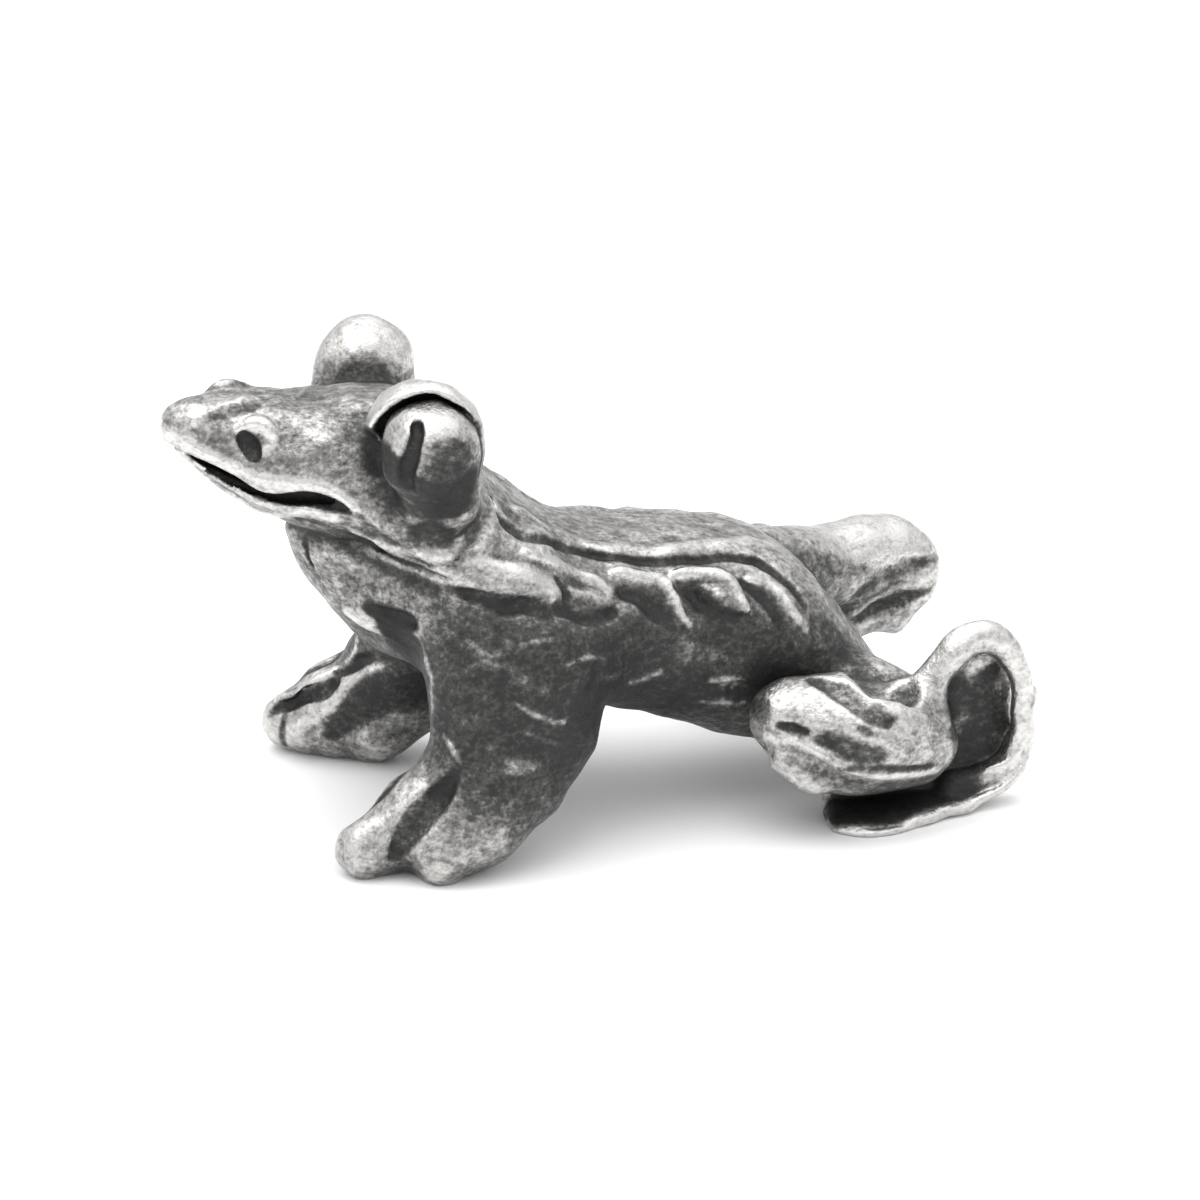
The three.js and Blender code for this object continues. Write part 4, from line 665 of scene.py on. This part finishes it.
def ragged(g, total):
    """Shifts the skin about by small random amounts, so that no edge runs quite clean."""
    g.shove = [RAGGED * wobble(g, RAGGED_CELL, seed) for seed in RAGGED_SEEDS]
    near = np.nonzero(np.abs(total) < SKIN_DEPTH)
    at = np.stack([g.axes[i][near[i]] + g.shove[i][near] for i in range(3)], 1)
    out = total.copy()
    out[near] = sample(g, total, at)
    return out


def build():
    """Grid, field of the finished metal, and the form in BLENDS that each point is deepest in."""
    g = Grid(STEP)
    total, best, label = None, None, None
    for index, (make, blend) in enumerate(BLENDS):
        field = make(g)
        if total is None:
            total, best, label = field.copy(), field, np.zeros(field.shape, np.uint8)
            continue
        total = soft_min(total, field, blend)
        closer = field < best
        label[closer] = index
        best = np.minimum(best, field)
    surface_marks(g, total)
    total = ragged(g, total)
    total += sum(height * wobble(g, cell, seed) for height, cell, seed in BUMPS)
    total = np.maximum(total, -g.axes[2][None, None, :])
    return g, total, label


def blurred(values, cells):
    """Box blur, three times."""
    for _ in range(3):
        for axis in range(3):
            pad = [(0, 0)] * 3
            pad[axis] = (cells + 1, cells)
            run = np.cumsum(np.pad(values, pad, mode="edge"), axis, dtype=np.float32)
            n = values.shape[axis]
            wide = 2 * cells + 1
            values = (np.take(run, range(wide, wide + n), axis) - np.take(run, range(n), axis)) / wide
    return values


def sample(g, values, points):
    """Trilinear values at points."""
    q = np.clip((points - LOW) / g.step, 0, g.count - 1.001)
    i = q.astype(int)
    t = q - i
    out = 0
    for corner in CORNERS:
        w = [t[:, k] if corner[k] else 1 - t[:, k] for k in range(3)]
        out = out + w[0] * w[1] * w[2] * values[tuple((i + corner).T)]
    return out


# Lighter and darker regions: centre with y outward, reach along the axes, side and how much lighter or darker
TONES = [
    ((1.0, 4.0, 6.3), (8.5, 3.5, 3.0), BOTH, -.48),
    ((-4.0, 6.0, 6.0), (4.0, 3.5, 5.0), BOTH, -.46),
    ((-11.5, 0.0, 15.6), (5.0, 5.0, 2.2), BOTH, -.1),
    ((-6.8, 4.2, 17.2), (2.6, 2.6, 1.8), BOTH, .25),
    ((1.5, 0.0, 11.0), (6.5, 3.2, 1.4), BOTH, .06),
    ((8.5, 6.5, 4.4), (3.8, 2.6, 2.4), LEFT, .12),
    ((12.5, 5.0, 7.4), (3.5, 2.5, 1.5), RIGHT, .8),
    ((-9.6, 5.2, .8), (1.4, 1.4, 1.2), LEFT, -.25),
    ((-7.2, 6.8, .8), (1.6, 1.4, 1.2), LEFT, -.08),
    ((-9.2, 6.9, .9), (1.2, 1.4, 1.2), RIGHT, .2),
    ((-8.5, 1.5, 10.0), (2.5, 2.5, 2.5), BOTH, .05),
    # Painted shade: the lower half of the near eye made darker
    ((-6.8, 6.2, 15.2), (2.2, 1.6, 1.8), LEFT, -.35),
]
# How much a hollow of each radius keeps of the dark finish, the widest also as painted shade under the belly and
# between the legs, and how much lighter an upward face is
HOLLOWS = {0.25: 1.6, 0.6: 1.4, 1.5: 1.2}
WORN, LIGHTER_ABOVE = 0.45, 0.2
# Middle, range and contrast of the finish
TONE_MIDDLE, TONE_RANGE, CONTRAST = 0.55, 0.45, 1.5


def wear_and_shade_of(g, total, verts, normals):
    """How far the dark finish is worn away at each point, darkened further by painted shade in the deep hollows,
    under the feet and around the eyes: 0 black, 1 bare metal.
    """
    solid = np.clip(0.5 - total / g.step, 0, 1).astype(np.float32)
    wear_and_shade = WORN + LIGHTER_ABOVE * normals[:, 2]
    for radius, share in HOLLOWS.items():
        cells = max(1, round(0.6 * radius / g.step))
        wear_and_shade -= share * (sample(g, blurred(solid, cells), verts) - 0.5)
    for centre, reach, side, amount in TONES:
        u = np.clip(1.25 - np.linalg.norm((outward(verts, side) - centre) / reach, axis=1), 0, 1)
        wear_and_shade += amount * np.minimum(1, 1.6 * ease(u))
    shoved = verts + np.stack([sample(g, shove, verts) for shove in g.shove], 1)
    return TONE_MIDDLE + TONE_RANGE * np.tanh(CONTRAST * (wear_and_shade + strokes(shoved) - 0.5))


# Nodes that each form of BLENDS stands for, on the left and on the right
GROUP_PIECES = [("torso", "torso"), ("head", "head"), ("lower_jaw", "lower_jaw")] + [
    ("left_" + n, "right_" + n) for n in ("eyelid", "foreleg", "thigh", "shank", "hind_foot", "eye")]
PIECES = list(dict.fromkeys(name for pair in GROUP_PIECES for name in pair))
# Rounds of settling, and the number of faces below which a closed bubble is left out
LONE_ROUNDS, PINCH_ROUNDS = 3, 12
CRUMB = 60


def owners(g, total, label):
    """Number of the piece that holds each grid point, from 1, and 0 outside the metal."""
    table = np.array([[PIECES.index(n) + 1 for n in pair] for pair in GROUP_PIECES], np.uint8)
    right = (g.axes[1] > 0).astype(int)[None, :, None]
    return settled(np.where(total < 0, table[label, right], 0).astype(np.uint8))


def settled(owner):
    """Owners without lone grid points and without points of a piece that meet only across an edge."""
    steps = np.concatenate([np.eye(3, dtype=int), -np.eye(3, dtype=int)])
    core = tuple(slice(1, -1) for _ in range(3))
    for _ in range(LONE_ROUNDS):
        mates = sum((np.roll(owner, step, (0, 1, 2))[core] == owner[core]).astype(np.uint8)
                    for step in steps)
        lone = np.argwhere(mates < 2) + 1
        ring = np.stack([owner[tuple((lone + step).T)] for step in steps], 1)
        votes = (ring[:, :, None] == ring[:, None, :]).sum(2) * (ring > 0)
        owner[tuple(lone.T)] = ring[np.arange(len(lone)), votes.argmax(1)]
    for _ in range(PINCH_ROUNDS):
        pinches = 0
        for axes in ((0, 1), (1, 2), (2, 0)):
            sheet = np.moveaxis(owner, axes, (0, 1))
            a, b, c, d = sheet[:-1, :-1], sheet[1:, :-1], sheet[:-1, 1:], sheet[1:, 1:]
            for p, q, r, s in ((a, d, b, c), (b, c, a, d)):
                pinch = (p == q) & (p != r) & (p != s) & (p > 0)
                r[pinch] = p[pinch]
                pinches += pinch.sum()
        if not pinches:
            break
    return owner


def shells(g, total, owner):
    """Closed skins with one shared point per mixed cell, so that neighbouring pieces meet exactly."""
    n = np.array(total.shape) - 1
    first = owner[:-1, :-1, :-1]
    mixed = np.zeros(first.shape, bool)
    for i, j, k in CORNERS[1:]:
        mixed |= owner[i:n[0] + i, j:n[1] + j, k:n[2] + k] != first
    cells = np.argwhere(mixed)
    index = np.full(mixed.shape, -1, np.int32)
    index[tuple(cells.T)] = np.arange(len(cells))
    value = {c: total[tuple((cells + c).T)] for c in CORNERS}
    who = {c: owner[tuple((cells + c).T)] for c in CORNERS}
    spot, hits = np.zeros((len(cells), 3)), np.zeros(len(cells))
    seam, seam_hits = np.zeros((len(cells), 3)), np.zeros(len(cells))
    for a in CORNERS:
        for axis in range(3):
            if a[axis]:
                continue
            b = tuple(1 if i == axis else a[i] for i in range(3))
            cross = (value[a] < 0) != (value[b] < 0)
            t = np.where(cross, value[a] / np.where(cross, value[a] - value[b], 1), 0)
            spot += cross[:, None] * np.array(a)
            spot[:, axis] += cross * t
            hits += cross
            change = who[a] != who[b]
            seam += change[:, None] * (np.array(a) + 0.5 * np.eye(3)[axis])
            seam_hits += change
    on_skin = hits > 0
    spot = np.where(on_skin[:, None], spot / np.maximum(hits, 1)[:, None],
                    seam / np.maximum(seam_hits, 1)[:, None])
    verts = LOW + g.step * (cells + spot)
    quads, inner, outer = [], [], []
    for axis in range(3):
        u, w = np.eye(3, dtype=int)[(axis + 1) % 3], np.eye(3, dtype=int)[(axis + 2) % 3]
        a = np.take(owner, range(0, total.shape[axis] - 1), axis)
        b = np.take(owner, range(1, total.shape[axis]), axis)
        edges = np.argwhere(a != b)
        quads.append(np.stack([index[tuple((edges - s).T)] for s in (u + w, w, 0 * u, u)], 1))
        inner.append(a[tuple(edges.T)])
        outer.append(b[tuple(edges.T)])
    return verts, np.concatenate(quads), np.concatenate(inner), np.concatenate(outer)


def without_crumbs(faces, count):
    """Faces of the connected skins that are larger than a few grid cells."""
    part = np.arange(count)
    while True:
        lowest, fresh = part[faces].min(1), part.copy()
        for k in range(4):
            np.minimum.at(fresh, faces[:, k], lowest)
        fresh = fresh[fresh]
        if (fresh == part).all():
            break
        part = fresh
    home = part[faces[:, 0]]
    return faces[np.bincount(home, minlength=count)[home] > CRUMB]


def mesh_of(name, verts, faces, normals, wear_and_shade):
    """Object with smooth faces, the given normals and at each vertex how worn the finish is, with painted shade in
    it.
    """
    used, faces = np.unique(faces, return_inverse=True)
    faces = faces.reshape(-1, 4)
    mesh = bpy.data.meshes.new(name)
    mesh.vertices.add(len(used))
    mesh.vertices.foreach_set("co", verts[used].astype(np.float32).ravel())
    mesh.loops.add(faces.size)
    mesh.loops.foreach_set("vertex_index", faces.astype(np.int32).ravel())
    mesh.polygons.add(len(faces))
    mesh.polygons.foreach_set("loop_start", np.arange(0, faces.size, 4, dtype=np.int32))
    mesh.polygons.foreach_set("use_smooth", np.ones(len(faces), bool))
    mesh.update(calc_edges=True)
    mesh.attributes.new("wear_and_shade", "FLOAT", "POINT").data.foreach_set("value", wear_and_shade[used].astype(np.float32))
    mesh.normals_split_custom_set_from_vertices(normals[used].astype(np.float32))
    piece = bpy.data.objects.new(name, mesh)
    bpy.context.scene.collection.objects.link(piece)
    return piece


class Nodes:
    """Short hand for a material's node tree."""

    def __init__(self, material):
        material.use_nodes = True
        self.tree = material.node_tree
        self.shader = self.tree.nodes["Principled BSDF"]

    def add(self, kind, inputs=(), **settings):
        node = self.tree.nodes.new(kind)
        for key, value in settings.items():
            setattr(node, key, value)
        for key, value in dict(inputs).items():
            self.plug(value, node.inputs[key])
        return node

    def plug(self, value, socket):
        if isinstance(value, bpy.types.NodeSocket):
            self.tree.links.new(value, socket)
        else:
            socket.default_value = value

    def math(self, operation, a, b=0.0, c=0.0):
        return self.add("ShaderNodeMath", {0: a, 1: b, 2: c}, operation=operation).outputs[0]

    def noise(self, at, scale, detail, rough):
        inputs = {"Vector": at, "Scale": scale, "Detail": detail, "Roughness": rough}
        return self.add("ShaderNodeTexNoise", inputs).outputs["Fac"]

    def span(self, value, low, high, to_low, to_high):
        inputs = {"Value": value, "From Min": low, "From Max": high, "To Min": to_low, "To Max": to_high}
        return self.add("ShaderNodeMapRange", inputs, interpolation_type="SMOOTHSTEP").outputs[0]

    def scaled(self, at, factors):
        return self.add("ShaderNodeVectorMath", {0: at, 1: factors}, operation="MULTIPLY").outputs[0]

    def sway(self, noise, amount, around):
        """A value that a noise pushes up and down."""
        return self.math("MULTIPLY_ADD", self.math("SUBTRACT", noise, 0.5), amount, around)


# Tones of the finish from black patina, also the colour of painted shade, to bare metal, between its two ends
PATINA_AND_SHADE, METAL = (0.008, 0.0078, 0.0075, 1), (0.66, 0.652, 0.638, 1)
SHADES = ((0.25, 0.024), (0.45, 0.085), (0.65, 0.25), (0.85, 0.52))
WARMTH = (1, 0.985, 0.96)


def pewter():
    """Antiqued pewter: bare metal where it is worn, dark patina elsewhere and where shade is painted, with casting
    grain.
    """
    material = bpy.data.materials.new("antiqued_pewter")
    n = Nodes(material)
    mm = n.scaled(n.add("ShaderNodeTexCoord").outputs["Object"], (1000, 1000, 1000))
    grain = n.noise(mm, 7.0, 1.5, 0.6)
    blotch = n.noise(n.scaled(mm, (0.85, 1.0, 1.2)), 3.2, 4, 0.64)
    wear_and_shade = n.add("ShaderNodeAttribute", attribute_name="wear_and_shade").outputs["Fac"]
    # How bare the metal is, lowered where shade is painted, swayed by noise
    bareness_and_shade = n.sway(blotch, 0.85, n.sway(grain, 0.4, wear_and_shade))
    ramp = n.add("ShaderNodeValToRGB", {"Fac": bareness_and_shade})
    for stop, shade in SHADES:
        ramp.color_ramp.elements.new(stop).color = (*(shade * tint for tint in WARMTH), 1)
    ramp.color_ramp.elements[0].color = PATINA_AND_SHADE
    ramp.color_ramp.elements[-1].color = METAL
    n.plug(ramp.outputs["Color"], n.shader.inputs["Base Color"])
    n.plug(n.span(bareness_and_shade, 0.1, 0.6, 0.3, 1.0), n.shader.inputs["Metallic"])
    n.plug(n.sway(grain, 0.2, n.span(bareness_and_shade, 0, 0.9, 0.6, 0.34)), n.shader.inputs["Roughness"])
    rough = n.math("ADD", grain, n.math("MULTIPLY", blotch, 0.8))
    bump = n.add("ShaderNodeBump", {"Height": rough, "Strength": 0.3, "Distance": 0.0001})
    n.plug(bump.outputs[0], n.shader.inputs["Normal"])
    return material


# The figurine
grid, metal, label = build()
owner = owners(grid, metal, label)
points, quads, inner, outer = shells(grid, metal, owner)
reach = 0.6 * grid.step
normals = np.stack([sample(grid, metal, points + reach * way) - sample(grid, metal, points - reach * way)
                    for way in np.eye(3)], 1)
normals /= np.maximum(np.linalg.norm(normals, axis=1, keepdims=True), TINY)
# How worn the finish is at each vertex, with painted shade in it
wear_and_shade = wear_and_shade_of(grid, metal, points, normals)
# The sculpture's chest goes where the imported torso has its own
CHEST_TIP = -11.05
torso_low, torso_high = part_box("torso")
shift = np.array((torso_low.x * 1000 - CHEST_TIP, (torso_low.y + torso_high.y) * 500, 0.0))
places = (points + shift) / 1000
finish = pewter()
for number, name in enumerate(PIECES, 1):
    faces = np.concatenate([quads[inner == number], quads[outer == number][:, ::-1]])
    faces = without_crumbs(faces, len(places))
    piece = mesh_of("cast_" + name, places, faces, normals, wear_and_shade)
    piece.data.materials.append(finish)
    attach(piece, "root")
    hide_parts(name)

# Floor
FLOOR = 3
floor_mesh = bpy.data.meshes.new("floor")
corners = [(-FLOOR, -FLOOR, 0), (FLOOR, -FLOOR, 0), (FLOOR, FLOOR, 0), (-FLOOR, FLOOR, 0)]
floor_mesh.from_pydata(corners, [], [(0, 1, 2, 3)])
floor = bpy.data.objects.new("floor", floor_mesh)
bpy.context.scene.collection.objects.link(floor)
paper = bpy.data.materials.new("white_paper")
paper_nodes = Nodes(paper)
paper_nodes.shader.inputs["Base Color"].default_value = (0.96, 0.96, 0.96, 1)
paper_nodes.shader.inputs["Roughness"].default_value = 0.9
floor_mesh.materials.append(paper)

# Camera at the photograph's angle
AZIMUTH, ELEVATION, DISTANCE = math.radians(-16.4), math.radians(22.5), 0.280
AIM_RIGHT, AIM_UP = 0.000831, 0.00702
SENSOR, LENS = 36, 228.5
right = Vector((math.cos(AZIMUTH), math.sin(AZIMUTH), 0))
level = math.cos(ELEVATION)
back = Vector((math.sin(AZIMUTH) * level, -math.cos(AZIMUTH) * level, math.sin(ELEVATION)))
up = back.cross(right)
feet = Vector(shift / 1000)
spot = feet + DISTANCE * back
aim = feet + AIM_RIGHT * right + AIM_UP * up
camera = bpy.data.objects.new("camera", bpy.data.cameras.new("camera"))
bpy.context.scene.collection.objects.link(camera)
camera.location = spot
camera.rotation_euler = (aim - spot).to_track_quat("-Z", "Y").to_euler()
camera.data.sensor_width = SENSOR
camera.data.lens = LENS
camera.data.clip_start = 0.01
bpy.context.scene.camera = camera

# One large soft light from above, and a sky that brightens toward the top
overhead = bpy.data.lights.new("overhead", "AREA")
overhead.shape = "RECTANGLE"
overhead.size, overhead.size_y, overhead.energy = 1.6, 1.6, 11.0
lamp = bpy.data.objects.new("overhead", overhead)
bpy.context.scene.collection.objects.link(lamp)
lamp.location = (-0.35, 0.1, 1.5)
lamp.rotation_euler = (-lamp.location).to_track_quat("-Z", "Y").to_euler()
world = bpy.data.worlds.new("studio")
world.use_nodes = True
sky = world.node_tree
backdrop = sky.nodes["Background"]
backdrop.inputs["Color"].default_value = (1, 1, 1, 1)
rise = sky.nodes.new("ShaderNodeMapRange")
split = sky.nodes.new("ShaderNodeSeparateXYZ")
for key, value in (("From Min", 0.0), ("From Max", 1.0), ("To Min", 0.55), ("To Max", 1.8)):
    rise.inputs[key].default_value = value
sky.links.new(sky.nodes.new("ShaderNodeTexCoord").outputs["Generated"], split.inputs[0])
sky.links.new(split.outputs["Z"], rise.inputs["Value"])
sky.links.new(rise.outputs[0], backdrop.inputs["Strength"])
bpy.context.scene.world = world
bpy.context.scene.view_settings.view_transform = "Standard"
